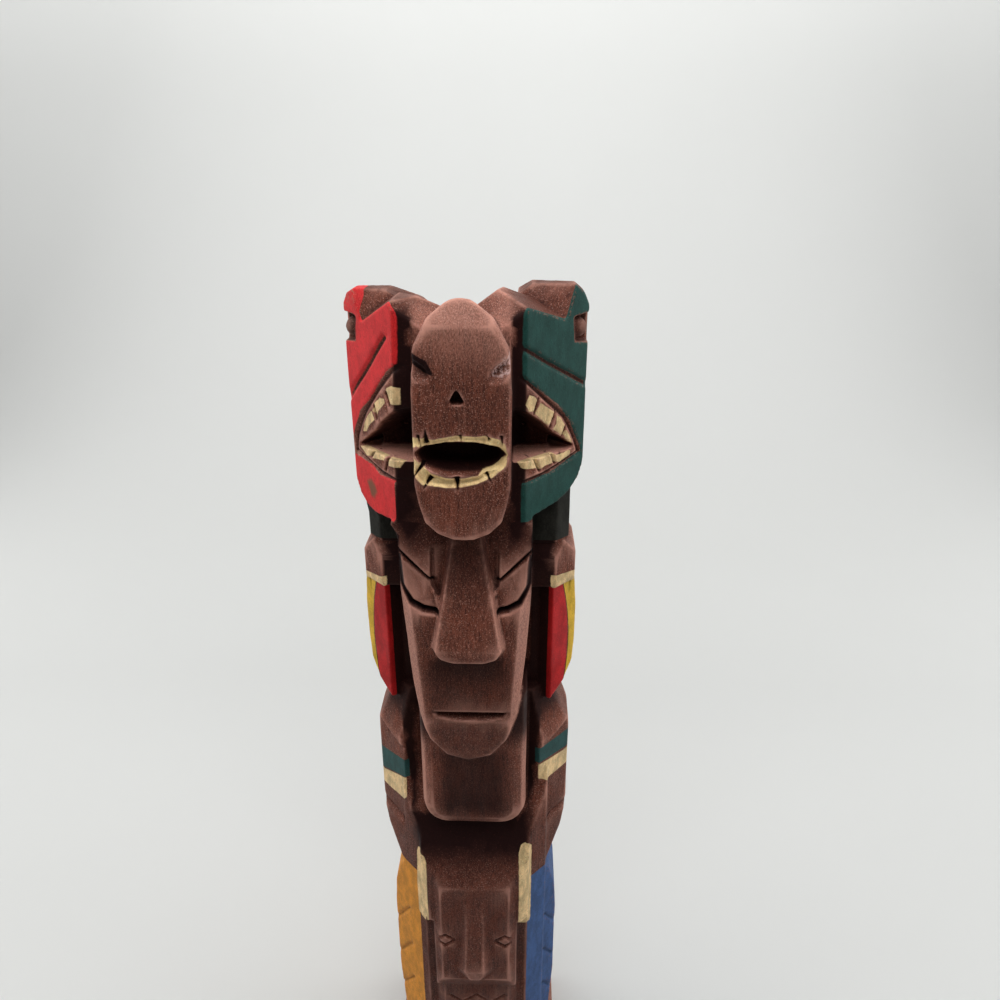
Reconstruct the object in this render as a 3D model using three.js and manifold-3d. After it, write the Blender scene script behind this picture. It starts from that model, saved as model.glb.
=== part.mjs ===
// A small carved and painted totem pole, cut from one block of wood.
// Millimetres, +Z up, origin at the middle of the underside, front towards -Y, +X to the right.
// Three heads share the top: a long middle head with an open mouth, and a toothed head at each side
// that looks out over a corner of the block. Below them come a long human face between feathers,
// a chest plate between two arms, a bird with folded wings, and a low base.

import * as THREE from "three";
import { ConvexGeometry } from "three/addons/geometries/ConvexGeometry.js";
import { mergeVertices } from "three/addons/utils/BufferGeometryUtils.js";
import Module from "manifold-3d";

const wasm = await Module();
wasm.setup();

// ---------------------------------------------------------------- driving dimensions
// Heights on the pole are given as depths below the crown of the middle head.
const height = 330;
const earRise = 0.6;
const crown = height - earRise;
const halfWidth = 35;
const frontY = -32;
const backY = 32;

// The corner bevel that both side heads look out over.
const bevel = { x: 17.4, y: -21, angle: Math.PI / 4 };
// Overlap of joined blocks, and how far a cutter stands clear of the wood.
const lap = 1;
const clear = 4;
const arcSteps = 5;

const core = { half: 24, front: -6, back: 28, top: 40 };

const middleHead = {
  half: [
    [0, 0], [3.9, 1.2], [8.6, 5], [12.4, 12.4], [13.3, 24], [13.3, 50], [12.4, 55.4], [10.8, 61], [7.4, 64.4],
    [3, 66.3], [0, 66.5],
  ],
  width: 13, shift: 0.3, back: 0, edge: 1.6, foreheadFoot: 7, foreheadBack: 3.6,
  // The crown and the shoulders of the arch fall away behind the front by this much at the back.
  napeFall: 9, archCorners: 3,
};
const middleMouth = {
  half: 13.6, corner: 40.2, top: 36.5, bottom: 47.6,
  innerHalf: 9, innerTop: 39, innerBottom: 43.5, depth: 10,
  lipUp: 1.4, lipDown: 2.2, cutWidth: 1.1, cutDepth: 1,
  upperCuts: [-9.6, -1, 6.2], lowerCuts: [-9, -1, 7],
};
const nostril = { half: 2.2, top: 22.8, bottom: 26.8, depth: 3.5, x: -0.8 };
const lipCrease = { width: 0.7, depth: 0.6, top: 27.4 };
const middleEye = {
  // Knife chip at each side of the brow: its rim on the face, then its deep line.
  rim: [[13.8, -32.5, 13.6], [8.2, -32.5, 17.2], [6.8, -32.5, 21.4], [9.6, -32.5, 22.4], [13.8, -32.5, 19.6]],
  deep: [[13.8, -27.8, 15], [8.8, -29.8, 18.6]],
};

const sideHead = {
  back: 18, heel: 22, jaw: 67,
  // Lower edge of the jaw along the corner bevel, then level along the side.
  jawRight: [[-40, 65.6], [0, 65], [14, 62.8], [19, 60.6], [23, 57], [25.4, 51.5], [80, 47]],
  jawLeft: [[-40, 66], [0, 65.4], [6, 66.2], [13.6, 66.8], [18.8, 65.4], [22.6, 62.6], [25.2, 58], [80, 52]],
  browFoot: [4.7, 7.8], browBack: 11, browTop: 0, napeTop: [6, 6], napeFoot: 24,
  // Behind the brows the inner slope of the roof falls away towards the nape.
  innerSlope: { start: -14, end: 6, right: 3, left: 4.6 },
  // Roof lines over the brows, from the valley between the heads outwards.
  roofRight: [[0, 6.6], [3.4, 4.2], [9, 0], [30, 9.4], [35, 11.6]],
  roofLeft: [[0, 6.6], [8, 3.4], [12.6, 1.6], [18, 2.4], [29, 9.9], [35, 13]],
};
const ear = {
  // Along the corner bevel: foot of the front, then over the tip and down the nape.
  profile: [[15.4, 10], [19.4, -0.6], [24, -0.6], [27.5, 1.2], [36, 14], [36, 40], [10, 40]],
  crestRight: [[14.5, 4.2], [19, 0.7], [30.6, -0.6], [33.4, 2], [35, 5.6]],
  crestLeft: [[13.5, 8.4], [17, 5.6], [22.6, 2.2], [30.6, 0.6], [33.4, 2.2], [35, 5.4]],
  leftDrop: 1.2, reach: 34,
};
const sideEye = {
  x: 31.4, y: -4, drop: 11.6, radius: 3, ballSteps: [14, 10],
  // Outline of the notch that the ball sits in, from its inner top corner, and how far it runs back.
  notch: [[30.4, 8.2], [39, 7.2], [39, 16.2], [31, 15.2]], notchBack: 1,
};
const sideMouth = {
  // Points along the corner bevel: distance from its front edge, depth below the crown.
  cavity: [[-9, 29.4], [0, 31.6], [7.4, 36.5], [11.5, 40.2], [19, 45], [21.4, 46.7], [0, 46.3], [-9, 46.3]],
  depth: 12,
  upperLip: {
    right: [[-0.6, 22.6], [8.2, 29.9], [16, 36.3], [20.3, 42.9], [22.8, 48.4]],
    left: [[-0.6, 19.8], [9, 27.8], [16.6, 35.4], [22, 43.2], [23.6, 49]],
  },
  lowerLip: [[23.2, 48.7], [13.6, 51], [6, 52.3], [-0.6, 52.5]],
  lipWidth: 1.4, lipDepth: 1.2, toothWidth: 1, toothDepth: 1,
  upperTeeth: [[3.4, 33.6], [8, 37], [11.9, 40.5], [15.6, 42.9]],
  lowerTeeth: [[4.4, 46.4], [9.4, 46.5], [14.4, 46.6]],
  upperTooth: [1.2, -2.8], lowerTooth: [-0.6, 2.4], toothStart: -0.25,
};
// The slanting cut across each cheek differs from side to side.
const cheekCut = {
  right: { path: [[-0.6, 14.4], [9, 19.8], [25.8, 28.6]], width: 2, depth: 1.3 },
  left: { path: [[4, 11.7], [13, 21], [25.8, 33.4]], width: 2.4, depth: 1.3 },
};

const collar = { inner: 18, corner: [27.5, -9.5], outer: [31.5, -5.5], back: 10, top: 55, foot: 77 };
const headBand = {
  inner: 18, corner: [27.5, -11.5], outer: [34, -5], back: 14, top: 76.5, foot: 92,
  topCorner: 30, slopeFoot: 82, frontSlope: 3,
};
const feather = {
  inner: 20, recess: [22.6, -6.5], corner: [26.8, -11], outer: [35, -3.4], back: 14, foot: 137,
  half: [[20, 90], [33.9, 90], [34.9, 103], [34.8, 116], [34.2, 124], [31.4, 131], [26.6, 136], [20, 138]],
  strips: [{ x: 32.3, width: 1, depth: 1 }],
  sideGrooves: [2, 8],
};

const face = {
  half: [
    [16.4, 60], [16.4, 64.4], [19.8, 65.2], [19.8, 88], [19.2, 98], [18.5, 109], [17.5, 120], [15.6, 132], [12.6, 141], [7.4, 148],
    [0, 150.6],
  ],
  front: -26.8, back: 2, edge: 1.4, chinTop: 133, chinBack: 2.2,
  // The cheek facets run between two levels, and the forehead leans back above its foot.
  cheek: { top: [16.6, 88], foot: [13.6, 132], back: 4.4 }, forehead: { top: [-20.8, 64], foot: 79 },
};
const nose = {
  shift: 0.8,
  // Corners of its right half: its top, its broad tip and the rounded foot, at the front and at the root.
  corners: [
    [3.1, -25.4, 62], [4.4, -22, 62], [10, -31.6, 103.6], [12.2, -22, 105.4], [8.4, -31.4, 106.4],
    [4.4, -31, 108], [9.8, -22, 108],
  ],
};
const brow = {
  edge: [[20.4, 72.4], [18.7, 74], [9.6, 82.4]], cutWidth: 1.4, cutDepth: 1.4,
  lid: [[19.6, 75], [19, 84], [16.2, 89.4], [12.6, 91.6], [8.2, 92.4]], lidWidth: 1.8, lidDepth: 1.5,
  socketDepth: 1.3, recessInner: 4.6, recessOuter: 10, recessFoot: 84, recessDepth: 3, corner: [6.4, 91],
};
const faceMouth = {
  half: 13, shift: 1, top: 129, bottom: 132.8, depth: 5, innerHalf: 11, innerTop: 129.8, innerBottom: 131,
};

const plate = {
  half: 17.9, shift: 1.2, top: 125, foot: 181.2, front: -23, back: 0, edge: 4, round: 9,
  undercut: 5, chamfer: 3.5,
};
const arm = {
  inner: [17, -9], corner: [24.8, -13.2], outer: [34.6, -1.6], side: 14, heel: [24, 26],
  half: [
    [0, 131], [24, 132], [26.6, 134.5], [34.4, 152], [34.8, 160], [34.6, 189], [32.6, 199], [27, 211], [0, 211],
  ],
  capTop: 134.5, capFront: 152, capBack: 6,
  // Lower edge of the shoulder cap, as [share of the way across the front of the arm, depth].
  capEdge: [[-0.2, 156], [0, 158], [1.2, 150]], bandCut: 1.1,
  crease: 190, creaseWidth: 3, creaseDepth: 2.2,
};
const lapSlope = { top: [-16, 180], foot: [-28, 208] };

const bird = {
  half: 15.5, front: -27.5, top: 160, foot: 311.8, stripe: 19.8, stripeFront: -25, body: 26, bodyFront: -20,
  stripeFoot: 226, chin: 254, breast: 262, breastFront: -24, edge: 3, bodyEdge: 7, shift: 1.1,
};
const beak = {
  // Corners of its right half: the narrow top, the cheeks, the blunt tip and the underside.
  corners: [
    [4.6, -25, 212], [3.2, -27.5, 212], [8.4, -25, 250], [3.4, -32, 244], [1.7, -31.4, 249], [4.2, -23, 258],
  ],
};
const birdEye = { x: 11, drop: 233, half: 3.6, lift: 2.6, width: 1.5, depth: 1.5 };
const breastCuts = {
  first: 268, step: 10, rows: 3, across: [-11, -5.5, 0, 5.5, 11], sag: 4.5, width: 1.5, depth: 1.1,
};
const wing = {
  inner: 20, corner: [24, -14], outer: [31.8, -6.2], side: 10, back: 24,
  half: [
    [0, 208], [26, 210], [28.8, 216], [31, 226], [31.8, 240], [31.8, 276], [30.4, 296], [28, 311.8], [0, 311.8],
  ],
  cuts: [[[0, 232], [12.5, 250]], [[0, 252], [12.5, 270]], [[0, 272], [12.5, 290]]],
  cutWidth: 1.8, cutDepth: 1.3,
};
const feet = {
  half: 12.5, gap: 1.6, front: -29, back: -18, slopeBack: -21, slopeInset: 1, top: 297, toeTop: 306, foot: 312,
  toes: 3, toeWidth: 1.6, toeDepth: 1.4,
};
const base = { half: 33, front: -30, back: 30, corner: 9, top: 310.8, chamfer: 2.5 };
const backRibs = { levels: [96, 137, 211], width: 3.2, depth: 2 };

// ---------------------------------------------------------------- shaping helpers
const below = (depth) => crown - depth;

// Turns [across, depth below the crown] pairs into [across, z] pairs, on either side of the middle.
const lowered = (outline, side = 1) => outline.map(([across, depth]) => [side * across, below(depth)]);

// Closes a half outline, given down its right side, with its own mirror image.
function symmetric(half) {
  const left = half.filter(([across]) => across > 0).reverse();
  return [...lowered(half), ...lowered(left, -1)];
}

function solid(geometry) {
  geometry.deleteAttribute("normal");
  geometry.deleteAttribute("uv");
  const merged = mergeVertices(geometry);
  return new wasm.Manifold(new wasm.Mesh({
    numProp: 3,
    vertProperties: new Float32Array(merged.attributes.position.array),
    triVerts: new Uint32Array(merged.index.array),
  }));
}

function extrusion(outline, depth) {
  const shape = new THREE.Shape(outline.map(([across, up]) => new THREE.Vector2(across, up)));
  return new THREE.ExtrudeGeometry(shape, { depth, bevelEnabled: false });
}

// Prism seen from the front with its front and back edges rounded off.
function roundedFrontal(outline, front, back, edge) {
  const shape = new THREE.Shape(outline.map(([across, up]) => new THREE.Vector2(across, up)));
  const geometry = new THREE.ExtrudeGeometry(shape, {
    depth: back - front - 2 * edge,
    bevelThickness: edge, bevelSize: edge, bevelOffset: -edge, bevelSegments: 2,
  });
  return solid(geometry.rotateX(Math.PI / 2).translate(0, back - edge, 0));
}

// Upright prism: its outline in plan, from one height up to another.
function upright(plan, foot, top) {
  return solid(extrusion(plan, top - foot).translate(0, 0, foot));
}

// Prism seen from the front: its outline as [x, z], from front to back.
function frontal(outline, front, back) {
  return solid(extrusion(outline, back - front).rotateX(Math.PI / 2).translate(0, back, 0));
}

// Prism square to a corner bevel: its outline as [distance from the front edge, z].
function onBevel(side, outline, depth) {
  const mirrored = outline.map(([along, z]) => [side * along, z]);
  const geometry = extrusion(mirrored, depth + clear).rotateX(Math.PI / 2).translate(0, depth, 0);
  geometry.rotateZ(side * bevel.angle).translate(side * bevel.x, bevel.y, 0);
  return solid(geometry);
}

// A place on a corner bevel, as a point in space.
function bevelPoint(side, along, depth) {
  const x = bevel.x + along * Math.cos(bevel.angle);
  const y = bevel.y + along * Math.sin(bevel.angle);
  return new THREE.Vector3(side * x, y, below(depth));
}

const bevelOutward = (side) => new THREE.Vector3(side * Math.sin(bevel.angle), -Math.cos(bevel.angle), 0);
const forward = new THREE.Vector3(0, -1, 0);
const rearward = new THREE.Vector3(0, 1, 0);

// Convex block or chip between corners given as [x, y, depth below the crown].
function chip(corners, side = 1) {
  const points = corners.map(([x, y, depth]) => new THREE.Vector3(side * x, y, below(depth)));
  return solid(new ConvexGeometry(points));
}

// Convex block with its left half the mirror image of the right half given.
const twinChip = (corners) => chip([...corners, ...corners.map(([x, y, depth]) => [-x, y, depth])]);

// Pares away all wood beyond the plane through three places, on the side where the fourth place lies.
function pared(wood, places, removed, side = 1) {
  const place = ([x, y, depth]) => new THREE.Vector3(side * x, y, below(depth));
  const [a, b, c, away] = [...places, removed].map(place);
  const along = b.clone().sub(a).normalize();
  const outward = new THREE.Vector3().crossVectors(along, c.clone().sub(a)).normalize();
  if (outward.dot(away.clone().sub(a)) < 0) {
    outward.negate();
  }
  const across = new THREE.Vector3().crossVectors(outward, along);
  const reach = 2 * height;
  const waste = new THREE.BoxGeometry(reach, reach, reach).translate(0, 0, reach / 2);
  waste.applyMatrix4(new THREE.Matrix4().makeBasis(along, across, outward).setPosition(a));
  return wood.subtract(solid(waste));
}

// One V-shaped knife cut along straight runs between points that lie on a face.
function knifeCut(points, outward, width, depth) {
  const half = (width / 2) * (1 + clear / depth);
  let cut = null;
  for (let run = 0; run + 1 < points.length; run += 1) {
    const along = points[run + 1].clone().sub(points[run]);
    const length = along.length();
    along.normalize();
    const across = new THREE.Vector3().crossVectors(outward, along);
    const section = extrusion([[-half, clear], [half, clear], [0, -depth]], length + width / 2);
    section.applyMatrix4(new THREE.Matrix4().makeBasis(across, outward, along).setPosition(points[run]));
    cut = cut ? cut.add(solid(section)) : solid(section);
  }
  return cut;
}

// Points on an arc of an ellipse about a centre, from one angle to another.
function arc(centre, radiusAcross, radiusUp, from, to, steps = arcSteps) {
  const curve = new THREE.EllipseCurve(centre[0], centre[1], radiusAcross, radiusUp, from, to, to < from);
  return curve.getPoints(steps).map((point) => [point.x, point.y]);
}

const joined = (blocks) => blocks.reduce((wood, block) => wood.add(block));
const carved = (wood, cuts) => cuts.reduce((left, cut) => left.subtract(cut), wood);
const bothSides = (make) => make(1).add(make(-1));

// ---------------------------------------------------------------- the middle head
// Corners of a mouth outline made of an upper and a lower arc, at one distance from the front.
function lensPoints(half, corner, top, bottom, y) {
  const upper = arc([0, 0], half, corner - top, Math.PI, 0);
  const lower = arc([0, 0], half, bottom - corner, 0, -Math.PI);
  return [...upper, ...lower].map(([across, up]) => [across, y, corner - up]);
}

// Depth of one edge of such a mouth, across from its middle.
function lensDrop(across, half, corner, reach) {
  return corner + reach * Math.sqrt(Math.max(0, 1 - (across / half) ** 2));
}

function middleMouthCuts() {
  const m = middleMouth;
  const innerCorner = (m.innerTop + m.innerBottom) / 2;
  const outer = lensPoints(m.half, m.corner, m.top, m.bottom, frontY - clear / 2);
  const inner = lensPoints(m.innerHalf, innerCorner, m.innerTop, m.innerBottom, frontY + m.depth);
  const cuts = [chip([...outer, ...inner])];
  const place = (x, depth) => new THREE.Vector3(x, frontY, below(depth));
  for (const x of m.upperCuts) {
    const edge = lensDrop(x, m.half, m.corner, m.top - m.corner);
    cuts.push(knifeCut([place(x, edge + lap), place(x, edge - m.lipUp)], forward, m.cutWidth, m.cutDepth));
  }
  for (const x of m.lowerCuts) {
    const edge = lensDrop(x, m.half, m.corner, m.bottom - m.corner);
    cuts.push(knifeCut([place(x, edge - lap), place(x, edge + m.lipDown)], forward, m.cutWidth, m.cutDepth));
  }
  return cuts;
}

function middleHeadBlock() {
  const h = middleHead;
  const outline = symmetric(h.half).map(([x, z]) => [x + h.shift, z]);
  let wood = roundedFrontal(outline, frontY, h.back, h.edge);
  const foreheadY = frontY + h.foreheadBack;
  const foreheadPlane = [[0, frontY, h.foreheadFoot], [1, frontY, h.foreheadFoot], [0, foreheadY, 0]];
  wood = pared(wood, foreheadPlane, [0, frontY, 0]);
  const napePlane = [[0, foreheadY, 0], [1, foreheadY, 0], [0, h.back, h.napeFall]];
  wood = pared(wood, napePlane, [0, h.back, 0]);
  for (const side of [1, -1]) {
    const arch = h.half.slice(1, 1 + h.archCorners).map(([x, depth]) => [side * x + h.shift, depth]);
    for (let run = 0; run + 1 < arch.length; run += 1) {
      const [[nearX, nearDepth], [farX, farDepth]] = [arch[run], arch[run + 1]];
      const slope = [
        [nearX, foreheadY, nearDepth], [farX, foreheadY, farDepth], [nearX, h.back, nearDepth + h.napeFall],
      ];
      wood = pared(wood, slope, [farX, h.back, 0]);
    }
  }
  const eyeCut = (side) => chip([...middleEye.rim, ...middleEye.deep], side);
  const n = nostril;
  const nostrilCut = frontal(
    [[n.x - n.half, below(n.bottom)], [n.x + n.half, below(n.bottom)], [n.x, below(n.top)]],
    frontY - lap, frontY + n.depth,
  );
  const creaseFoot = middleMouth.top - middleMouth.lipUp;
  const crease = [lipCrease.top, creaseFoot].map((depth) => new THREE.Vector3(n.x, frontY, below(depth)));
  return carved(wood, [
    eyeCut(1), eyeCut(-1), nostrilCut, knifeCut(crease, forward, lipCrease.width, lipCrease.depth),
    ...middleMouthCuts(),
  ]);
}

// ---------------------------------------------------------------- the side heads
function sideHeadBlank(side) {
  const h = sideHead;
  const plan = [
    [-lap, bevel.y], [bevel.x, bevel.y], [halfWidth, bevel.y + halfWidth - bevel.x],
    [halfWidth, h.back], [h.heel, backY], [-lap, backY],
  ].map(([x, y]) => [side * x, y]);
  const roof = side > 0 ? h.roofRight : h.roofLeft;
  const outline = lowered([[-lap, roof[0][1]], ...roof, [halfWidth, h.jaw], [-lap, h.jaw]], side);
  const earDrop = side > 0 ? 0 : ear.leftDrop;
  const block = upright(plan, below(h.jaw), height);
  const [napeY, napeDepth] = h.napeTop;
  const napePlane = [[0, napeY, napeDepth], [1, napeY, napeDepth], [0, backY, h.napeFoot]];
  const napeCut = pared(frontal(outline, bevel.y, backY).intersect(block), napePlane, [0, backY, 0], side);
  const { start, end, right, left } = h.innerSlope;
  const [[valleyX, valleyDepth], , [crestX, crestDepth]] = roof;
  const slope = [
    [valleyX, start, valleyDepth], [crestX, start, crestDepth],
    [crestX, end, crestDepth + (side > 0 ? right : left)],
  ];
  const headPart = pared(napeCut, slope, [valleyX, end, 0], side);
  const crest = side > 0 ? ear.crestRight : ear.crestLeft;
  const earOutline = lowered([...crest, [halfWidth, h.jaw], [crest[0][0], h.jaw]], side);
  const profile = lowered(ear.profile.map(([along, depth]) => [along, depth + earDrop]));
  const earPart = frontal(earOutline, bevel.y, backY).intersect(block);
  return headPart.add(earPart.intersect(onBevel(side, profile, ear.reach)));
}

function sideHeadShape(side) {
  const h = sideHead;
  let wood = sideHeadBlank(side);
  const browPlane = [
    [bevel.x, bevel.y, h.browFoot[0]], [middleHead.width, bevel.y, h.browFoot[1]],
    [bevel.x / 2, -h.browBack, h.browTop],
  ];
  wood = pared(wood, browPlane, [bevel.x, bevel.y, -clear], side);
  const jaw = side > 0 ? h.jawRight : h.jawLeft;
  const waste = [...jaw, [jaw[jaw.length - 1][0], h.jaw + clear], [jaw[0][0], h.jaw + clear]];
  return wood.subtract(onBevel(side, lowered(waste), 2 * halfWidth));
}

function sideEyeParts(side) {
  const e = sideEye;
  const notch = frontal(lowered(e.notch, side), bevel.y, e.notchBack);
  const ball = new THREE.SphereGeometry(e.radius, ...e.ballSteps).translate(side * e.x, e.y, below(e.drop));
  return { notch, ball: solid(ball) };
}

function sideMouthCuts(side) {
  const m = sideMouth;
  const outward = bevelOutward(side);
  const cuts = [onBevel(side, lowered(m.cavity), m.depth)];
  for (const lip of [side > 0 ? m.upperLip.right : m.upperLip.left, m.lowerLip]) {
    const path = lip.map(([along, depth]) => bevelPoint(side, along, depth));
    cuts.push(knifeCut(path, outward, m.lipWidth, m.lipDepth));
  }
  for (const [teeth, [lean, rise]] of [[m.upperTeeth, m.upperTooth], [m.lowerTeeth, m.lowerTooth]]) {
    for (const [along, depth] of teeth) {
      const place = (share) => bevelPoint(side, along + share * lean, depth + share * rise);
      const run = [place(m.toothStart), place(1)];
      cuts.push(knifeCut(run, outward, m.toothWidth, m.toothDepth));
    }
  }
  return cuts;
}

function sideHeadBlock(side) {
  const cheek = side > 0 ? cheekCut.right : cheekCut.left;
  const cheekPath = cheek.path.map(([along, depth]) => bevelPoint(side, along, depth));
  const { notch, ball } = sideEyeParts(side);
  const cheekGroove = knifeCut(cheekPath, bevelOutward(side), cheek.width, cheek.depth);
  return carved(sideHeadShape(side), [notch, cheekGroove, ...sideMouthCuts(side)]).add(ball);
}

// ---------------------------------------------------------------- collar, head band and feathers
function cornerBlock(side, part, top, foot) {
  const { inner, corner, outer, back } = part;
  const plan = [[inner, back], [inner, corner[1]], corner, outer, [outer[0], back]];
  return upright(plan.map(([x, y]) => [side * x, y]), below(foot), below(top));
}

function headBandBlock(side) {
  const b = headBand;
  const wood = cornerBlock(side, b, b.top, b.foot);
  const topSlope = [[b.topCorner, 0, b.top], [b.topCorner, 1, b.top], [b.outer[0], 0, b.slopeFoot]];
  const sloped = pared(wood, topSlope, [b.outer[0], 0, b.top], side);
  const corner = b.corner[1];
  const back = corner + b.frontSlope;
  const frontSlope = [[0, back, b.top], [1, back, b.top], [0, corner, b.slopeFoot]];
  return pared(sloped, frontSlope, [0, corner, b.top], side);
}

function featherBlock(side) {
  const f = feather;
  const plan = [
    [f.inner, f.back], [f.inner, f.recess[1]], f.recess, f.corner, f.outer, [f.outer[0] + lap, f.back],
  ];
  const wood = upright(plan.map(([x, y]) => [side * x, y]), below(f.foot), below(f.half[0][1]));
  const silhouette = frontal(lowered(f.half, side), f.corner[1], f.back);
  const outward = new THREE.Vector3(side * Math.SQRT1_2, -Math.SQRT1_2, 0);
  const sideways = new THREE.Vector3(side, 0, 0);
  const cuts = [];
  for (const strip of f.strips) {
    const rise = (strip.x - f.corner[0]) / (f.outer[0] - f.corner[0]);
    const y = f.corner[1] + rise * (f.outer[1] - f.corner[1]);
    const run = [headBand.foot, f.foot].map((depth) => new THREE.Vector3(side * strip.x, y, below(depth)));
    cuts.push(knifeCut(run, outward, strip.width, strip.depth));
  }
  const flank = side * f.half[2][0];
  for (const y of f.sideGrooves) {
    const run = [headBand.foot, f.foot].map((depth) => new THREE.Vector3(flank, y, below(depth)));
    cuts.push(knifeCut(run, sideways, f.strips[0].width, f.strips[0].depth));
  }
  return carved(wood.intersect(silhouette), cuts);
}

// ---------------------------------------------------------------- the human face
function faceBlank() {
  const f = face;
  let wood = roundedFrontal(symmetric([[0, f.half[0][1]], ...f.half]), f.front, f.back, f.edge);
  const chinDepth = f.half[f.half.length - 1][1];
  const chinPlane = [[0, f.front, f.chinTop], [1, f.front, f.chinTop], [0, f.front + f.chinBack, chinDepth]];
  wood = pared(wood, chinPlane, [0, f.front, chinDepth]);
  const [topY, topDepth] = f.forehead.top;
  const foreheadPlane = [[0, topY, topDepth], [1, topY, topDepth], [0, f.front, f.forehead.foot]];
  wood = pared(wood, foreheadPlane, [0, f.front, topDepth]);
  const { top, foot: low, back } = f.cheek;
  const rim = Math.max(...f.half.map(([x]) => x));
  for (const side of [1, -1]) {
    const cheekPlane = [[top[0], f.front, top[1]], [low[0], f.front, low[1]], [rim, f.front + back, top[1]]];
    wood = pared(wood, cheekPlane, [rim, f.front, top[1]], side);
  }
  return wood;
}

// How far forward the face stands at a depth, where the forehead leans back.
function faceY(depth) {
  const [topY, topDepth] = face.forehead.top;
  const lean = (face.forehead.foot - depth) / (face.forehead.foot - topDepth);
  return face.front + Math.max(0, lean) * (topY - face.front);
}

function eyeCuts(side) {
  const b = brow;
  const place = ([x, depth]) => new THREE.Vector3(side * x, faceY(depth), below(depth));
  const socketOutline = lowered([...b.edge, ...b.lid.slice().reverse()], side);
  const top = face.half[0][1];
  const recess = [[b.recessInner, top], [b.recessOuter, top], [b.recessOuter, b.recessFoot], b.corner];
  return [
    frontal(socketOutline, face.front - clear, face.front + b.socketDepth),
    frontal(lowered(recess, side), face.front - clear, face.front + b.recessDepth),
    knifeCut(b.edge.map(place), forward, b.cutWidth, b.cutDepth + b.socketDepth / 2),
    knifeCut(b.lid.map(place), forward, b.lidWidth, b.lidDepth + b.socketDepth),
  ];
}

function faceMouthCut() {
  const m = faceMouth;
  const lip = arc([0, 0], m.half, m.bottom - m.top, 0, -Math.PI);
  const inner = [[-m.innerHalf, m.innerTop], [m.innerHalf, m.innerTop], [0, m.innerBottom]];
  return chip([
    ...lip.map(([x, up]) => [x + m.shift, face.front - lap, m.top - up]),
    ...inner.map(([x, depth]) => [x + m.shift, face.front + m.depth, depth]),
  ]);
}

function faceBlock() {
  const wood = carved(faceBlank(), [...eyeCuts(1), ...eyeCuts(-1), faceMouthCut()]);
  return wood.add(twinChip(nose.corners).translate([nose.shift, 0, 0]));
}

// ---------------------------------------------------------------- chest plate, arms and hands
function plateBlock() {
  const p = plate;
  const footRound = arc([p.half - p.round, p.foot - p.round], p.round, p.round, 0, Math.PI / 2);
  const outline = symmetric([[0, p.top], [p.half, p.top], ...footRound]);
  const lip = p.front + p.edge / 2;
  const underside = [[0, lip, p.foot], [1, lip, p.foot], [0, p.back, p.foot - p.undercut]];
  const wood = pared(roundedFrontal(outline, p.front, p.back, p.edge), underside, [0, p.back, p.foot]);
  const toe = [[0, p.front, p.foot - p.chamfer], [1, p.front, p.foot - p.chamfer], [0, lip, p.foot]];
  return pared(wood, toe, [0, p.front, p.foot]).translate([p.shift, 0, 0]);
}

function armBlock(side) {
  const a = arm;
  const [[cornerX, cornerY], [outerX, outerY]] = [a.corner, a.outer];
  const plan = [[-lap, a.heel[1]], [-lap, core.front], a.inner, a.corner, a.outer, [outerX, a.side], a.heel];
  const [top, foot] = [a.half[0][1], a.half[a.half.length - 1][1]];
  const blank = upright(plan.map(([x, y]) => [side * x, y]), below(foot), below(top));
  const capSlope = [
    [cornerX, cornerY + a.capBack, a.capTop], [cornerX, cornerY, a.capFront],
    [outerX, outerY + a.capBack, a.capTop],
  ];
  const silhouette = frontal(lowered(a.half, side), frontY, backY);
  const wood = pared(blank.intersect(silhouette), capSlope, [cornerX, cornerY, a.capTop], side);
  // Below the pointed shoulder cap the arm is cut back a little, down to the crease.
  const length = Math.hypot(outerX - cornerX, outerY - cornerY);
  const [outX, outY] = [(outerY - cornerY) / length, (cornerX - outerX) / length];
  const onArm = (share, proud, depth) => [
    cornerX + share * (outerX - cornerX) + proud * outX,
    cornerY + share * (outerY - cornerY) + proud * outY,
    depth,
  ];
  const shares = a.capEdge.map(([share]) => share);
  const bandEdge = [...a.capEdge, [Math.min(...shares), a.crease], [Math.max(...shares), a.crease]];
  const layer = (proud) => bandEdge.map(([share, depth]) => onArm(share, proud, depth));
  const waste = [...layer(-a.bandCut), ...layer(clear)];
  const creaseRun = [0, 1].map((share) => {
    const [x, y, depth] = onArm(share, 0, a.crease);
    return new THREE.Vector3(side * x, y, below(depth));
  });
  const outward = new THREE.Vector3(side * outX, outY, 0);
  return carved(wood, [chip(waste, side), knifeCut(creaseRun, outward, a.creaseWidth, a.creaseDepth)]);
}

// ---------------------------------------------------------------- the bird
function birdBody() {
  const b = bird;
  const blank = (half, front, top, bottom, edge) => upright([
    [-half, core.back], [-half, front + edge], [-half + edge, front],
    [half - edge, front], [half, front + edge], [half, core.back],
  ], below(bottom), below(top));
  const body = blank(b.body, b.bodyFront, b.top, b.foot, b.bodyEdge);
  const stripes = blank(b.stripe, b.stripeFront, b.top, b.stripeFoot, b.edge);
  const forehead = blank(b.half, b.front, b.top, b.breast, b.edge);
  const breast = blank(b.half, b.breastFront, b.breast - lap, b.foot, b.edge);
  const chin = [[0, b.front, b.chin], [1, b.front, b.chin], [0, b.breastFront, b.breast]];
  const wood = joined([body, stripes, pared(forehead, chin, [0, b.front, b.breast]), breast]);
  // The top leans back under the chest plate, as far as the hands.
  const { top, foot: low } = lapSlope;
  return pared(wood, [[0, ...top], [1, ...top], [0, ...low]], [0, low[0], top[1]]);
}

// The whole bird stands a little to one side of the pole's middle.
function birdBlock() {
  const wood = carved(birdBody(), [...birdEyeCuts(1), ...birdEyeCuts(-1), ...breastFeatherCuts()]);
  return wood.add(twinChip(beak.corners)).translate([bird.shift, 0, 0]);
}

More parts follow.
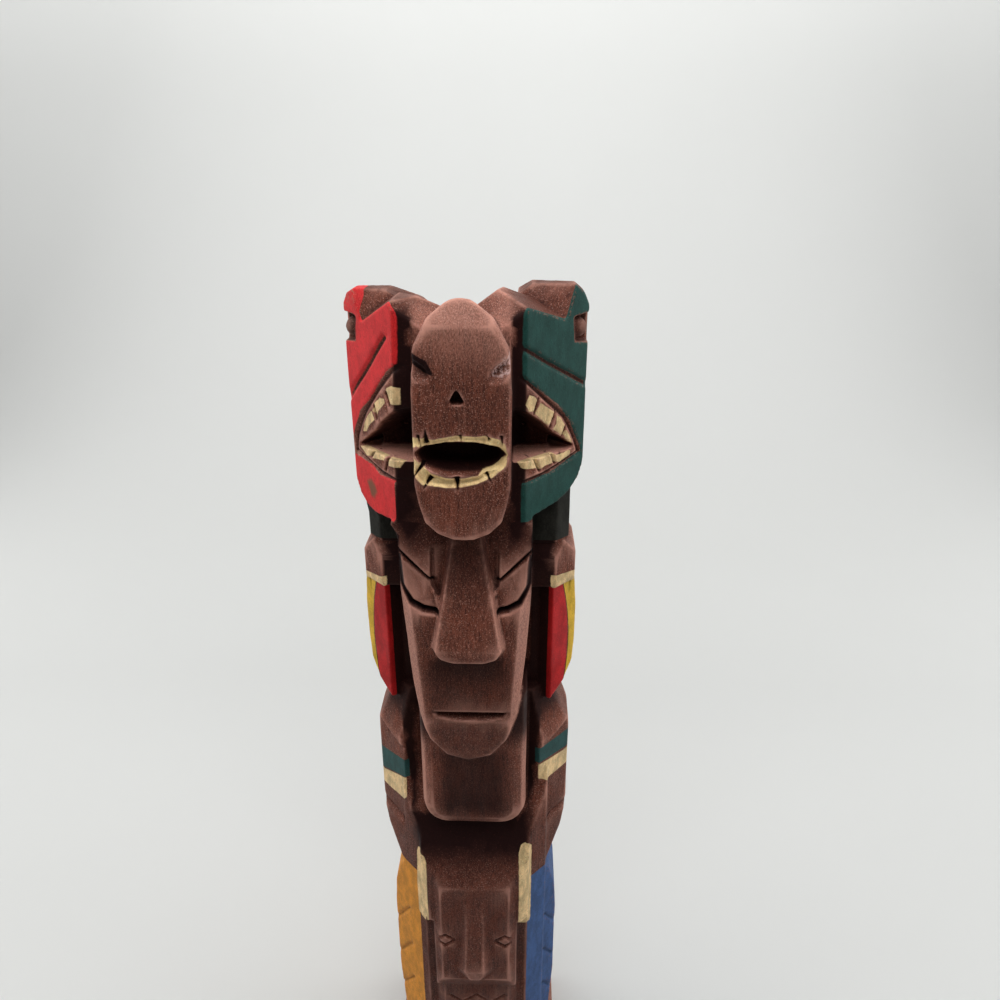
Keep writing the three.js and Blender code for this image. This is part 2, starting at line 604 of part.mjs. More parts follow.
function birdEyeCuts(side) {
  const e = birdEye;
  const place = (x, depth) => new THREE.Vector3(side * x, bird.front, below(depth));
  return [-e.lift, e.lift].map((bow) => {
    const lid = [place(e.x - e.half, e.drop), place(e.x, e.drop + bow), place(e.x + e.half, e.drop)];
    return knifeCut(lid, forward, e.width, e.depth);
  });
}

function breastFeatherCuts() {
  const c = breastCuts;
  const cuts = [];
  for (let row = 0; row < c.rows; row += 1) {
    const run = c.across.map((x, point) => {
      const depth = c.first + row * c.step + (point % 2) * c.sag;
      return new THREE.Vector3(x, bird.breastFront, below(depth));
    });
    cuts.push(knifeCut(run, forward, c.width, c.depth));
  }
  return cuts;
}

function wingBlock(side) {
  const w = wing;
  const plan = [
    [w.inner, w.back], [w.inner, w.corner[1]], w.corner, w.outer, [w.outer[0], w.side], [w.corner[0], w.back],
  ];
  const [top, foot] = [w.half[0][1], w.half[w.half.length - 1][1]];
  const blank = upright(plan.map(([x, y]) => [side * x, y]), below(foot), below(top));
  const wood = blank.intersect(frontal(lowered(w.half, side), frontY, backY));
  const place = ([along, depth]) => new THREE.Vector3(
    side * (w.corner[0] + along * Math.SQRT1_2), w.corner[1] + along * Math.SQRT1_2, below(depth),
  );
  const outward = new THREE.Vector3(side * Math.SQRT1_2, -Math.SQRT1_2, 0);
  return carved(wood, w.cuts.map((run) => knifeCut(run.map(place), outward, w.cutWidth, w.cutDepth)));
}

function feetBlock(side) {
  const f = feet;
  const corners = [];
  for (const x of [f.gap, f.half]) {
    corners.push([x, f.front, f.foot], [x, f.back, f.foot], [x, f.front, f.toeTop]);
  }
  corners.push([f.gap + f.slopeInset, f.slopeBack, f.top], [f.half - f.slopeInset, f.slopeBack, f.top]);
  const cuts = [];
  for (let toe = 1; toe < f.toes; toe += 1) {
    const x = f.gap + ((f.half - f.gap) * toe) / f.toes;
    const run = [f.top, f.foot].map((depth) => new THREE.Vector3(side * x, f.front, below(depth)));
    cuts.push(knifeCut(run, forward, f.toeWidth, f.toeDepth));
  }
  return carved(chip(corners, side), cuts);
}

function baseBlock() {
  const b = base;
  const corners = [];
  for (const [inset, depth] of [[0, crown], [0, b.top + b.chamfer], [b.chamfer, b.top]]) {
    for (const [end, inward] of [[b.front, 1], [b.back, -1]]) {
      corners.push([b.half - inset, end + inward * b.corner, depth]);
      corners.push([b.half - b.corner, end + inward * inset, depth]);
    }
  }
  return twinChip(corners);
}

// ---------------------------------------------------------------- the pole as one piece
function coreBlock() {
  const c = core;
  const plan = [[-c.half, c.front], [c.half, c.front], [c.half, c.back], [-c.half, c.back]];
  return upright(plan, 0, below(c.top));
}

function backCuts() {
  return backRibs.levels.map((depth) => {
    const run = [-halfWidth, halfWidth].map((x) => new THREE.Vector3(x, core.back, below(depth)));
    return knifeCut(run, rearward, backRibs.width, backRibs.depth);
  });
}

function poleBlock() {
  const collarBlock = (side) => cornerBlock(side, collar, collar.top, collar.foot);
  const wood = joined([
    coreBlock(), bothSides(sideHeadBlock), middleHeadBlock(),
    bothSides(collarBlock), bothSides(headBandBlock), bothSides(featherBlock), faceBlock(),
    plateBlock(), bothSides(armBlock),
    birdBlock(),
    bothSides(wingBlock), bothSides(feetBlock), baseBlock(),
  ]);
  return carved(wood, backCuts());
}

function meshOf(name, wood, material) {
  const { vertProperties, triVerts } = wood.getMesh();
  const geometry = new THREE.BufferGeometry();
  geometry.setAttribute("position", new THREE.BufferAttribute(new Float32Array(vertProperties), 3));
  geometry.setIndex(new THREE.BufferAttribute(new Uint32Array(triVerts), 1));
  geometry.computeVertexNormals();
  const mesh = new THREE.Mesh(geometry, material);
  mesh.name = name;
  return mesh;
}

const carvedWood = new THREE.MeshStandardMaterial({ color: 0x6e3c32, roughness: 0.6, metalness: 0 });
const totemPole = new THREE.Group();
totemPole.add(meshOf("totem_pole", poleBlock(), carvedWood));

export default totemPole;
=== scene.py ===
import math

import bmesh
import bpy
import numpy as np
from bpy.props import FloatProperty, FloatVectorProperty, IntProperty, PointerProperty
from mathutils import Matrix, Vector
from mathutils.bvhtree import BVHTree


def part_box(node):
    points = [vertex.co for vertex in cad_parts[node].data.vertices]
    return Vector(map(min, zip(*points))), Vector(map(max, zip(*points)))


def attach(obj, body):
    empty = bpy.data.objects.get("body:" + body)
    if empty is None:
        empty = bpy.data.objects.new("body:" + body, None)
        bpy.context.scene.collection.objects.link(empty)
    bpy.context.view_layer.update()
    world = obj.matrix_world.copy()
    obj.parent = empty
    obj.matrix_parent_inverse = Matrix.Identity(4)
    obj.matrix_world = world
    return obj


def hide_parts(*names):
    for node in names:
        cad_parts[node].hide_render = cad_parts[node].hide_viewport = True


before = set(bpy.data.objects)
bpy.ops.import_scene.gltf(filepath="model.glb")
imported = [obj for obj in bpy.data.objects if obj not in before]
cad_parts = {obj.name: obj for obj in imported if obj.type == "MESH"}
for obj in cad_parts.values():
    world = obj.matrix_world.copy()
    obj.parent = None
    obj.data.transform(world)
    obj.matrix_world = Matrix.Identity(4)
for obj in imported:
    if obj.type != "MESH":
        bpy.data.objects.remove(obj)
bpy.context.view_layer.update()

bl_info = {
    "name": "Carved totem pole",
    "version": (1, 0, 0),
    "blender": (4, 5, 0),
    "location": "View3D > Sidebar > Totem pole",
    "description": "Carves, stains and paints the wooden totem pole and sets its stage",
    "category": "Object",
}

NODE = "totem_pole"
MM = 0.001
# A distance in mm larger than any on the pole.
FAR = 1e9
LOW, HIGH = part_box(NODE)
# The ears stand a little above the crown, which depths are measured from.
EAR_RISE = 0.6
CROWN = HIGH[2] / MM - EAR_RISE
CENTRE = [(LOW[0] + HIGH[0]) / 2 / MM, (LOW[1] + HIGH[1]) / 2 / MM]
LEFT, RIGHT = -1, 1
SIDES = (LEFT, RIGHT)
HALF = math.sqrt(0.5)

# Sizes below are in mm: x across, y back, d down from the crown, wide the distance to either side.
# Front edge, in plan, of the bevels that carry the side heads.
BEVEL = (17.4, -21)
# Edges of the side heads' paint, on the heads and then on the ears.
HEAD_HALF = 34.1
HEAD_FOOT = 67.1
PAINT_BACK = 15.5
JAW_FOOT = {LEFT: 65.3, RIGHT: 64.9}
EAR_EDGE = {LEFT: 28, RIGHT: 33.4}
EAR_FOOT = 9.2
# Centre and radius of the round eyes, and the notch that they stand in.
EYE = (31.4, -4, 11.6)
EYE_RADIUS = 3.6
EYE_NOTCH = [(30.2, 8), (39, 7), (39, 16.6), (30.8, 15.4)]
# Foot of the gilded head bands, and the feathers' shape.
BAND_FOOT = 92.3
FEATHER_FOOT = 137
FEATHER_RED = 8.1
FEATHER_BOW = 2.6
FEATHER_BOW_LENGTH = 19
FEATHER_WAIST = 114
# How far the nose and the breast plate stand to the right.
NOSE_SHIFT = 0.8
PLATE_SHIFT = 1.2
# Half the width of the human face, and of the recess beside it, by depth.
CHEEK_HALF = ([109, 120, 132, 141, 148], [18.5, 17.5, 15.6, 12.6, 7.4])
RECESS_HALF = ([132, 140, 158, 176], [27.2, 24.4, 23.4, 22])
LID_FRONT = -27.3
# Foot of the side heads' roofs over the dark strips.
STRIP_HALF = 17.6
ROOF_FOOT = 3.4
ROOF_DROP = 3.4
ROOF_BACK = (-20, -14)
ROOF_SLOPE = 0.25

# Outlines on the bevels, as distance from the front edge and depth.
MOUTHS = {
    LEFT: [
        (-3, 16.5), (0.6, 19.6), (3.7, 21.5), (6.6, 24.3), (10.1, 27.8), (13.8, 31.4), (19, 35.5),
        (21.3, 39), (23.8, 42.7), (25, 46.2), (25.2, 50.3), (19.8, 50.6), (13.6, 51.5), (8.9, 53.1),
        (1.7, 52.8), (-3, 52.8),
    ],
    RIGHT: [
        (-3, 20.6), (0.1, 22.8), (5.2, 26.5), (9.4, 29.6), (12.8, 32), (15.9, 35.2), (18.2, 37.8),
        (20.2, 41.3), (22.2, 44.9), (23.7, 47.8), (23.8, 48.8), (20.2, 49.5), (17.1, 50.6), (13.6, 51.6),
        (10.2, 52.3), (1.1, 52.9), (-3, 52.9),
    ],
}
LIP_GROOVES = {
    LEFT: [
        (-0.9, 19.6), (3, 22.2), (5.8, 24.8), (9, 27.8), (12.7, 31.6), (16.6, 35.4), (19.6, 39.2),
        (22, 43.2), (23.2, 46.5), (23.4, 49),
    ],
    RIGHT: [
        (-0.9, 22.4), (2.4, 25), (8.2, 29.9), (11.8, 32.7), (16, 36.3), (18.3, 39.4), (20.3, 42.9),
        (22, 46.1), (22.8, 47.9),
    ],
}
LOW_GROOVES = {
    LEFT: [(23.4, 49), (19, 49.8), (13.6, 50.9), (8.9, 52.2), (1.7, 52.3), (-1, 52.3)],
    RIGHT: [(22.8, 48.6), (17.1, 50), (13.6, 51), (10.2, 51.8), (6, 52.2), (-1, 52.4)],
}
TEETH = {
    LEFT: [
        [(3.5, 26), (0.8, 24.9), (-0.9, 25.4), (-0.9, 30), (1.6, 30.2), (3.2, 29), (4.1, 27.2)],
        [(7.5, 29.6), (4.9, 29.4), (4.9, 30.6), (8.3, 33.4), (9.6, 34.9), (11.9, 34.3), (10.4, 31.6)],
        [(12.4, 34.4), (10.9, 36.7), (14, 38.8), (16.2, 41.4), (18, 41.7), (17.1, 39.3), (15, 36.4)],
        [(20.4, 46.9), (11.7, 45.4), (14.1, 48.5), (16.6, 49)],
        [(13.1, 46.6), (7.1, 45.4), (4.9, 45.6), (6.4, 48), (13.3, 48.9)],
        [(3.4, 45.4), (-1, 44.8), (-1.3, 46), (-0.6, 48.4), (3.8, 48.9), (4.3, 47.5)],
    ],
    RIGHT: [
        [
            (0.4, 28.5), (1.3, 27.3), (2.9, 27.9), (4.9, 29.7), (4.2, 31.4), (3, 32.2), (1.2, 31.9),
            (0, 29.8),
        ],
        [(5.7, 30.3), (9.5, 32.8), (12.1, 34.5), (10.9, 36), (9.2, 37.6), (7.2, 36.1), (3.9, 33.3)],
        [
            (12.5, 34.9), (14.3, 36.4), (16.5, 39.3), (15.9, 41.1), (14.9, 41.9), (12.5, 40),
            (10.9, 39.1), (12.6, 37.8),
        ],
        [(17, 40.6), (18.5, 42.8), (19.7, 45.2), (18.1, 44.3), (16.6, 43), (15.9, 41.6)],
        [
            (-1.9, 45.4), (-0.3, 45), (1.7, 45.2), (3.4, 45.8), (5.9, 50.2), (4.3, 49.2), (1.8, 48.9),
            (-0.8, 48.2),
        ],
        [(3.6, 45.8), (5.8, 45.6), (8.3, 45), (10.2, 45.2), (11.4, 49.3), (8, 49.5), (6.1, 50.2)],
        [(10.6, 45.4), (12.6, 47.2), (14.4, 47.6), (15.7, 47.2), (15.3, 50.1), (11.8, 49.3)],
        [(14.9, 47.6), (17.8, 47), (19, 47.4), (18.8, 48.5), (17, 49.3), (15.6, 49.8)],
    ],
}
TOOTH_CUTS = {
    LEFT: [
        [(4.1, 27.6), (2.6, 30.4)], [(11, 32.6), (9.9, 36)], [(11.2, 45.3), (14, 48.4)],
        [(1.8, 43.5), (4.3, 46.9), (5.7, 50.6)],
    ],
    RIGHT: [
        [(5.2, 29), (3.6, 32.8)], [(12.2, 34.2), (10.2, 38.4)], [(16.8, 39.6), (15.4, 42)],
        [(3.5, 45.4), (5.9, 50.4)], [(10.4, 45), (12.4, 49.6)],
    ],
}
CHEEK_CUTS = {
    LEFT: [(2.7, 11.6), (6.5, 14.7), (10, 18), (12, 20.7), (15.5, 24), (21, 28), (24.6, 30.6)],
    RIGHT: [(-0.6, 14.4), (9, 19.8), (25.8, 28.6)],
}
# Outlines on the middle head, as distance across and depth.
UPPER_LIP = [
    (-14.4, 39.9), (-12.6, 35.9), (-9.9, 36.1), (-7.3, 36.4), (-1.3, 35.2), (4.6, 35.5), (6.4, 35.2),
    (10.4, 36.2), (11.9, 37.6), (12.6, 41), (9.3, 38.5), (4.7, 37.1), (-0.5, 36.7), (-7.3, 37.9),
    (-9.5, 38.8), (-11.9, 38.4),
]
LOWER_LIP = [
    (-14.4, 40.7), (-10.5, 43.5), (-8.4, 45.8), (-4.1, 47.2), (-0.9, 47.5), (4.5, 46.5), (5.7, 45.4),
    (8.8, 44.2), (12.4, 40.7), (12.2, 43.6), (8.5, 46.9), (6.5, 47.8), (4.5, 48.7), (-0.9, 50),
    (-4.1, 50), (-10.5, 49.2), (-12.6, 47.1), (-14.2, 43.3),
]
# Knife nicks through the gilded lips: line and width.
LIP_NICKS = (
    ([(-11.2, 35.2), (-10.6, 38.6)], 0.7), ([(-9, 37.6), (-9.3, 33.8)], 1.7), ([(0, 35), (0.2, 36.8)], 0.9),
    ([(7.8, 36.6), (6.9, 35)], 0.8), ([(10.9, 35.2), (11.2, 38.4)], 0.8),
    ([(-10, 43.2), (-12.9, 47.4)], 1.3), ([(-7.9, 47), (-10.2, 50.2)], 1.5),
    ([(-1.2, 46.9), (-0.9, 51.2)], 1.7), ([(6.7, 45.8), (8.4, 48.6)], 1),
)
# Brows and lower lids of the human face, the same on both sides.
BROW_LINE = [(20.4, 72.4), (18.7, 74), (9.6, 82.4)]
LID_LINE = [(19.6, 75), (19, 84), (16.2, 89.4), (12.6, 91.6), (8.2, 92.4)]
NOSE_CREASE = [(0.5, 27.6), (0.4, 34.8)]
# Chips beside the middle head's eyes. The left chip's dark part is cut deeper and painted with the shadow
# on its upper wall.
LEFT_CHIP = [(-13.6, 14), (-8.4, 14.7), (-7, 19.5), (-8.7, 20.9), (-11.9, 16.4), (-13.6, 15.6)]
LEFT_CHIP_DARK = [
    (-13.8, 13.4), (-11.6, 13.7), (-8.2, 15.6), (-6.5, 19.2), (-8.9, 18.9), (-11.6, 17.2), (-13.8, 15.4),
]
RIGHT_CHIP = [(13.8, 12.9), (10.9, 15.1), (8.5, 17.9), (8, 19.5), (10.9, 19.8), (13.8, 18.4)]
# Cuts on the middle head: outline, depth, and where its slope begins and ends.
FRONT_CUTS = (
    (LEFT_CHIP_DARK, 1.4, -0.15, 0.5), (LEFT_CHIP, 0.5, -0.2, 0.7), (RIGHT_CHIP, 0.8, -0.2, 0.9),
    (UPPER_LIP, 0.55, -0.1, 1.1), (LOWER_LIP, 0.9, -0.1, 1.1),
)

# Bands, feathers and arms below the heads: corner and outer edge in plan.
BAND_PLAN = ((27.5, -11.5), (34, -5))
FEATHER_PLAN = ((26.8, -11), (35, -3.4))
ARM_PLAN = ((24.8, -13.2), (34.6, -1.6))
BAND_GILDING = {
    LEFT: [(-4, 87.4), (1.3, 89.2), (9.2, 90), (30, 90), (30, 96), (-4, 96)],
    RIGHT: [(-2, 87.4), (4, 88.2), (9.2, 88.8), (30, 88.8), (30, 96), (-2, 96)],
}
ARM_GREEN = {
    LEFT: [(-5, 160.4), (14.9, 165.4), (34, 165.4), (34, 175.4), (15, 175.2), (-5, 167.6)],
    RIGHT: [(-5, 155), (14.9, 156.5), (34, 156.5), (34, 164), (15, 164), (-5, 161)],
}
ARM_GOLD = {
    LEFT: [(-1.4, 169.2), (14.7, 175.8), (34, 176), (34, 182.6), (12.3, 182.4), (1.6, 180.6), (-1.6, 177)],
    RIGHT: [(-1.4, 162.2), (13.8, 165), (34, 165), (34, 172.2), (13.6, 172), (4.7, 171.6), (-0.8, 168.4)],
}
STRIPES = {
    LEFT: [
        (-18.4, 195.4), (-17, 196), (-16.1, 198.4), (-16.3, 214), (-16, 232), (-20.8, 232), (-20.9, 214),
        (-20.2, 199), (-19.6, 196.2),
    ],
    RIGHT: [
        (19, 190.6), (20.5, 191.2), (21.5, 193.8), (21.6, 213), (21.6, 232), (17, 232), (17.2, 213),
        (16.9, 194.6), (17.6, 191.6),
    ],
}
# Edges of the side mouths' dark insides, and widths of the lines round their lips.
CAVITY_EDGE = {
    LEFT: [
        (-6, 29.4), (-0.9, 29.9), (1.6, 30.2), (4.3, 30.9), (7.8, 33.4), (9.7, 35.6), (13.4, 38.5),
        (16.2, 41.3), (17, 43.3), (21.2, 46.7), (0, 46.3), (-6, 46.3),
    ],
    RIGHT: [
        (-6, 30), (-0.9, 31), (1.4, 31.7), (4.2, 33.2), (9.2, 37.4), (11, 39), (14.9, 41.7), (18.6, 44.4),
        (21.2, 46.7), (0, 46.3), (-6, 46.3),
    ],
}
LIP_GROOVE_WIDTH = {LEFT: 1.5, RIGHT: 1.0}
OLIVE_STAIN = [
    (17.6, 57.5), (14.8, 56), (12.5, 57.3), (11.5, 59.3), (13.7, 61.9), (15.6, 61.5), (16.5, 59.1),
]

# Soft zones of the wood: each coordinate rises from 0 to 1 between its first two numbers, and falls
# between the last two. How strongly the broad forms are sanded, and where.
SANDING_PASSES = 12
SANDED = {
    "lap": (1, {"d": (182, 188, 207, 211), "y": (-6, -12)}),
    "arms": (0.7, {"d": (133, 137, 209, 213), "wide": (20.5, 23)}),
    "crown": (0.5, {"d": (15, 11), "y": (-24, -27), "wide": (14, 13)}),
    "nose": (0.6, {"d": (97, 101, 109, 111), "y": (-25, -28), "wide": (15, 13)}),
    "feathers": (0.5, {"d": (96, 98, 139, 141), "wide": (24, 26), "y": (16, 14)}),
    "chin": (0.6, {"d": (134, 138, 152, 154), "y": (-19, -21)}),
    "cheeks": (0.5, {"d": (96, 100, 146, 150), "y": (-20, -22), "wide": (11, 13)}),
}
# Painted shade in recesses, between the heads, inside the middle mouth, under overhangs and darker towards
# the bottom, as shares that add up; the strips between the heads are partly stained dark as well.
PAINTED_SHADE = {
    "strips": (
        1,
        {"wide": (12.9, 13.6, 17.1, 17.9), "y": (-30.5, -26, 2, 12), "d": (70, 68), "past_roof": (0, 1.4)},
    ),
    "middle mouth": (0.95, {"y": (-31, -28.6, -20, -19.9), "wide": (12.8, 12), "d": (34, 36, 50, 51)}),
    "under the heads": (0.7, {"d": (54, 62, 66, 88), "y": (-32, -26, -6, 0)}),
    "lap": (0.25, {"d": (180.5, 182), "y": (-30, -20, -8, 0), "wide": (24, 17)}),
    "lap's upper half": (0.75, {"d": (180.5, 182, 186, 206), "y": (-30, -20, -8, 0), "wide": (24, 17)}),
    "lower body": (0.3, {"d": (150, 195), "y": (20, 8)}),
    "muzzle": (0.36, {"d": (107.6, 109, 131, 134), "off_nose": (16, 10), "y": (-22, -25)}),
    "under the nose": (0.44, {"d": (107.6, 109, 110, 127), "off_nose": (16, 10), "y": (-22, -25)}),
    "recess": (
        0.95,
        {"wide": (18.6, 20.4), "past_recess": (0, -0.8), "y": (-26.5, -22, 0, 8), "d": (66, 70, 176, 186)},
    ),
    "plate": (0.75, {"off_plate": (15, 8), "d": (146, 150, 172, 180), "y": (-20, -22)}),
}
# Painted shade under the nose and on its bridge, and darker round eyes, as shares of which the largest
# counts.
SHADED = {
    "muzzle": (0.34, {"d": (104, 112, 146, 150), "off_nose": (14, 9), "y": (-20, -22)}),
    "round eyes": (0.6, {"eye": (4, 3.6)}),
    "bridge of the nose": (0.75, {"d": (69, 71, 74, 92), "off_nose": (8, 6), "y": (-23, -25)}),
}
# Painted shade on the side heads' upward roofs, along the eyelid lines, and on the sliver tucked beside the
# face.
ROOFS = {"wide": (11, 14), "d": (26, 20)}
EYELIDS = {"y": (-16, -18, -27.2, -28)}
TUCKED = {"past_cheek": (0.3, 0.9), "d": (121, 123, 138, 148), "y": (-25, -22.5, -2, 6)}
# Where the wood is painted paler: the brow, partly rubbed stain and partly painted light from above, and a
# painted highlight on the sideways rims of face and plate.
FOREHEAD = {"wide": (15, 13), "y": (-12, -20)}
RIMS = {"y": (-17, -20), "wide": (6, 10), "d": (76, 84, 180, 184)}

# Points closer than WELD, in metres, are one. Rays that feel for nearby wood start and end at these, in mm.
WELD = 0.01 * MM
RAY_LIFT = 0.05
RAY_REACH = 9
SWEEP_STEPS = 24

# Paints in the order they are laid on: darker tone, roughness, metal, and darkening in hollows, partly
# soiling and partly painted shade.
PAINTS = {
    "charcoal": (0.6, 0.75, 0, 0.9), "red": (0.86, 0.6, 0, 0.75), "green": (0.8, 0.62, 0, 0.9),
    "band": (0.7, 0.6, 0, 0.9), "feather": (0.7, 0.6, 0, 0.9), "yellow": (0.78, 0.6, 0, 0.9),
    "orange": (0.75, 0.6, 0, 0.9), "blue": (0.7, 0.6, 0, 0.9), "gold": (0.6, 0.5, 0.25, 0.9),
    "bright": (0.75, 0.4, 0.12, 0.35), "deep": (0.7, 0.75, 0, 0.9),
}
# Layers of the bare stain: the noise of each, where it starts and is full, how much it shows at either
# end, and how much lighter or darker it is.
STAINS = (
    ("blotch", (0.45, 0.8, 0, 0.6), (1.5, 1.25, 1)), ("streak", (0.47, 0.66, 0, 0.8), (0.35,)),
    ("streak", (0.34, 0.46, 0.45, 0), (2, 2, 2.1)), ("pore", (0.3, 0.5, 0.55, 0), (0.3,)),
    ("fleck", (0.48, 0.7, 0, 0.6), (2.5, 2.6, 2.7)), ("fleck", (0.36, 0.5, 0.6, 0), (0.3,)),
)
LIGHTS = (
    ("ceiling_light", (0, -0.04, 0.98), (0, -0.03, 0.25), (1.2, 0.5), "ceiling"),
    ("backdrop_light", (0, 0.42, 0.95), (0, 1, 0.85), (3, 0.24), "backdrop"),
    ("front_light", (0, -0.2, 0.62), (0, -0.02, 0.28), (0.36, 0.2), "front"),
    ("left_light", (-0.7, 0.1, 0.5), (0, 0, 0.25), (0.8, 0.8), "wall"),
    ("right_light", (0.7, 0.1, 0.5), (0, 0, 0.25), (0.8, 0.8), "wall"),
)
# How far a paint's edge wanders and how soft it is, and the gloss left where stain pools and shade is
# painted.
EDGE_WOBBLE = 0.4
EDGE_BLUR = 0.14
STAIN_AND_SHADE_GLOSS = (0.3, 0.2, 0.16)


def tone(red, green, blue):
    """A colour as it looks on screen, 0 to 255, made into the linear colour that the nodes use."""
    shares = [value / 255 for value in (red, green, blue)]
    return tuple(s / 12.92 if s <= 0.04045 else ((s + 0.055) / 1.055) ** 2.4 for s in shares)


def length(name, about, metres, **limits):
    """A size in metres that a user can change."""
    return FloatProperty(name=name, description=about, default=metres, unit="LENGTH", precision=5, **limits)


def number(name, about, value, least):
    """A whole number that a user can change."""
    return IntProperty(name=name, description=about, default=value, min=least)


def colour(name, about, red, green, blue):
    """A colour that a user can change."""
    shown = tone(red, green, blue)
    return FloatVectorProperty(name=name, description=about, subtype="COLOR", default=shown)


def power(name, about, watts):
    """The power of a light that a user can change."""
    return FloatProperty(name=name, description=about, default=watts, unit="POWER")


def turn(name, about, degrees):
    """An angle that a user can change."""
    return FloatProperty(name=name, description=about, default=math.radians(degrees), subtype="ANGLE")


class CarvingSizes(bpy.types.PropertyGroup):
    """How finely and how roughly the pole is carved."""

    step: length("Carving step", "Finest detail that the carving keeps", 0.00045, min=0.0003)
    rounding: number("Edge rounding", "Passes of the sanding block over the edges", 3, 0)
    facets: length("Knife facets", "Depth of the broad knife facets left in the wood", 0.00018)
    nicks: length("Nick depth", "Depth of the nicks between the teeth", 0.0011)
    lean: length("Left bevel lean", "How far the left head's front edge leans out towards its jaw", 0.0025)
    triangles: number("Triangles", "Most triangles in the finished carving", 196000, 20000)


class PaintColours(bpy.types.PropertyGroup):
    """Stain and paints of the pole."""

    wood: colour("Stained wood", "Reddish brown stain on the wood", 106, 58, 44)
    # Rubbed wood is also the colour of the painted highlights on edges, brow and rims.
    worn: colour("Rubbed wood", "Pinkish wood where the stain is rubbed thin", 206, 148, 130)
    # Pooled stain is also the colour of the painted shade in recesses, between parts, under overhangs and
    # in the knife's lines.
    deep: colour("Pooled stain", "Nearly black stain that gathers in recesses", 34, 17, 17)
    split: colour("Split wood", "Raw wood in the right chip", 214, 178, 172)
    olive: colour("Olive stain", "Stain on the red jaw", 92, 84, 58)
    # The dust lies on upward faces, where their paler tone is partly painted sheen.
    dust: colour("Dust", "Pale dust on the upward faces", 200, 180, 170)
    red: colour("Red", "Paint of the left head", 212, 46, 48)
    green: colour("Green", "Paint of the right head", 34, 72, 66)
    charcoal: colour("Charcoal", "Paint of the collar", 44, 44, 40)
    gold: colour("Gold", "Dull gold of the side heads' teeth and the bands", 236, 202, 150)
    bright: colour("Bright gold", "Shiny gold of the middle head's lips", 255, 212, 152)
    yellow: colour("Yellow", "Paint of the feathers' edges", 224, 180, 60)
    feather: colour("Feather red", "Paint of the feathers", 186, 36, 38)
    band: colour("Band green", "Paint of the arm bands", 32, 74, 72)
    orange: colour("Orange", "Paint of the left wing", 214, 140, 44)
    blue: colour("Blue", "Paint of the right wing", 58, 88, 138)


class StageSizes(bpy.types.PropertyGroup):
    """Camera, backdrop and lights."""

    lens: FloatProperty(name="Lens", description="Focal length", default=27.18, unit="CAMERA")
    tilt: turn("Tilt", "How far the camera looks down", 23)
    heading: turn("Heading", "How far the camera is turned about the pole", 1.6)
    aside: length("Aside", "Camera's place to the right of the pole", 0.0096)
    distance: length("Distance", "Camera's place in front of the pole's axis", 0.221)
    above: length("Above", "Camera's height above the crown", 0.0268)
    paper: colour("Backdrop", "Colour of the floor and the sweep behind", 226, 227, 225)
    ceiling: power("Ceiling light", "Power of the soft light above", 3.8)
    wall: power("Side light", "Power of each soft light at the side", 2.8)
    backdrop: power("Backdrop light", "Power of the light on the backdrop", 11)
    front: power("Front light", "Power of the light above the camera", 0.75)
    room: FloatProperty(name="Room light", description="Strength of the even light all round", default=0.1)


class TotemSettings(bpy.types.PropertyGroup):
    """Everything a user may change."""

    carving: PointerProperty(type=CarvingSizes)
    paint: PointerProperty(type=PaintColours)
    stage: PointerProperty(type=StageSizes)


def from_line(line, across, down):
    """Distance in mm from a line of points."""
    nearest = np.full(across.shape, FAR)
    for (x0, d0), (x1, d1) in zip(line, line[1:]):
        run, fall = x1 - x0, d1 - d0
        share = np.clip(((across - x0) * run + (down - d0) * fall) / (run * run + fall * fall), 0, 1)
        nearest = np.minimum(nearest, np.hypot(across - x0 - share * run, down - d0 - share * fall))
    return nearest


def inside(outline, across, down):
    """Distance in mm inside an outline's edge, below zero outside it."""
    closed = outline + outline[:1]
    nearest = from_line(closed, across, down)
    within = np.zeros(across.shape, bool)
    for (x0, d0), (x1, d1) in zip(closed, closed[1:]):
        if d1 != d0:
            crossing = (x1 - x0) * (down - d0) / (d1 - d0) + x0
            within ^= ((d0 > down) != (d1 > down)) & (across < crossing)
    return np.where(within, nearest, -nearest)


def wedge(line, width, across, down):
    """Distance in mm inside the edge of a nick that tapers along its line."""
    (x0, d0), (x1, d1) = line
    run, fall = x1 - x0, d1 - d0
    long = math.hypot(run, fall)
    share = ((across - x0) * run + (down - d0) * fall) / long**2
    off = np.abs((across - x0) * fall - (down - d0) * run) / long
    return np.minimum(width / 2 * (1.1 - share) - off, long * np.minimum(share, 1 - share))


def nicked(width_share, across, down):
    """Distance in mm inside the nearest nick of the gilded lips."""
    return either(*(wedge(line, width_share * width, across, down) for line, width in LIP_NICKS))


def both(*distances):
    """Where all the regions overlap."""
    return np.minimum.reduce(distances)


def either(*distances):
    """Where any of the regions is."""
    return np.maximum.reduce(distances)


def ramp(values, low, high):
    """A soft step from 0 at low to 1 at high, which may be the smaller of the two."""
    share = np.clip((values - low) / (high - low), 0, 1)
    return share * share * (3 - 2 * share)


def groove(distance, width):
    """A V-cut's depth from 0 at its edge to 1 along its line."""
    return np.clip(1 - distance / width, 0, 1)


def ripple(points, wavelength, seed):
    """Smooth seeded noise from -1 to 1, with a wavelength in mm along each axis."""
    spot = points / wavelength + seed * 17.31
    cell = np.floor(spot).astype(np.int64)
    share = spot - cell
    share = share * share * (3 - 2 * share)
    total = np.zeros(len(points))
    for corner in range(8):
        step = np.array([corner & 1, corner >> 1 & 1, corner >> 2 & 1])
        x, y, z = (cell + step).T
        mixed = (x * 73856093 ^ y * 19349663 ^ z * 83492791 ^ seed * 2654435761) & 0xFFFFFFFF
        mixed = ((mixed ^ mixed >> 15) * 2246822519) & 0xFFFFFFFF
        mixed = ((mixed ^ mixed >> 13) * 3266489917) & 0xFFFFFFFF
        value = ((mixed ^ mixed >> 16) & 0xFFFF) / 32767.5 - 1
        total += value * np.prod(np.where(step, share, 1 - share), axis=1)
    return total


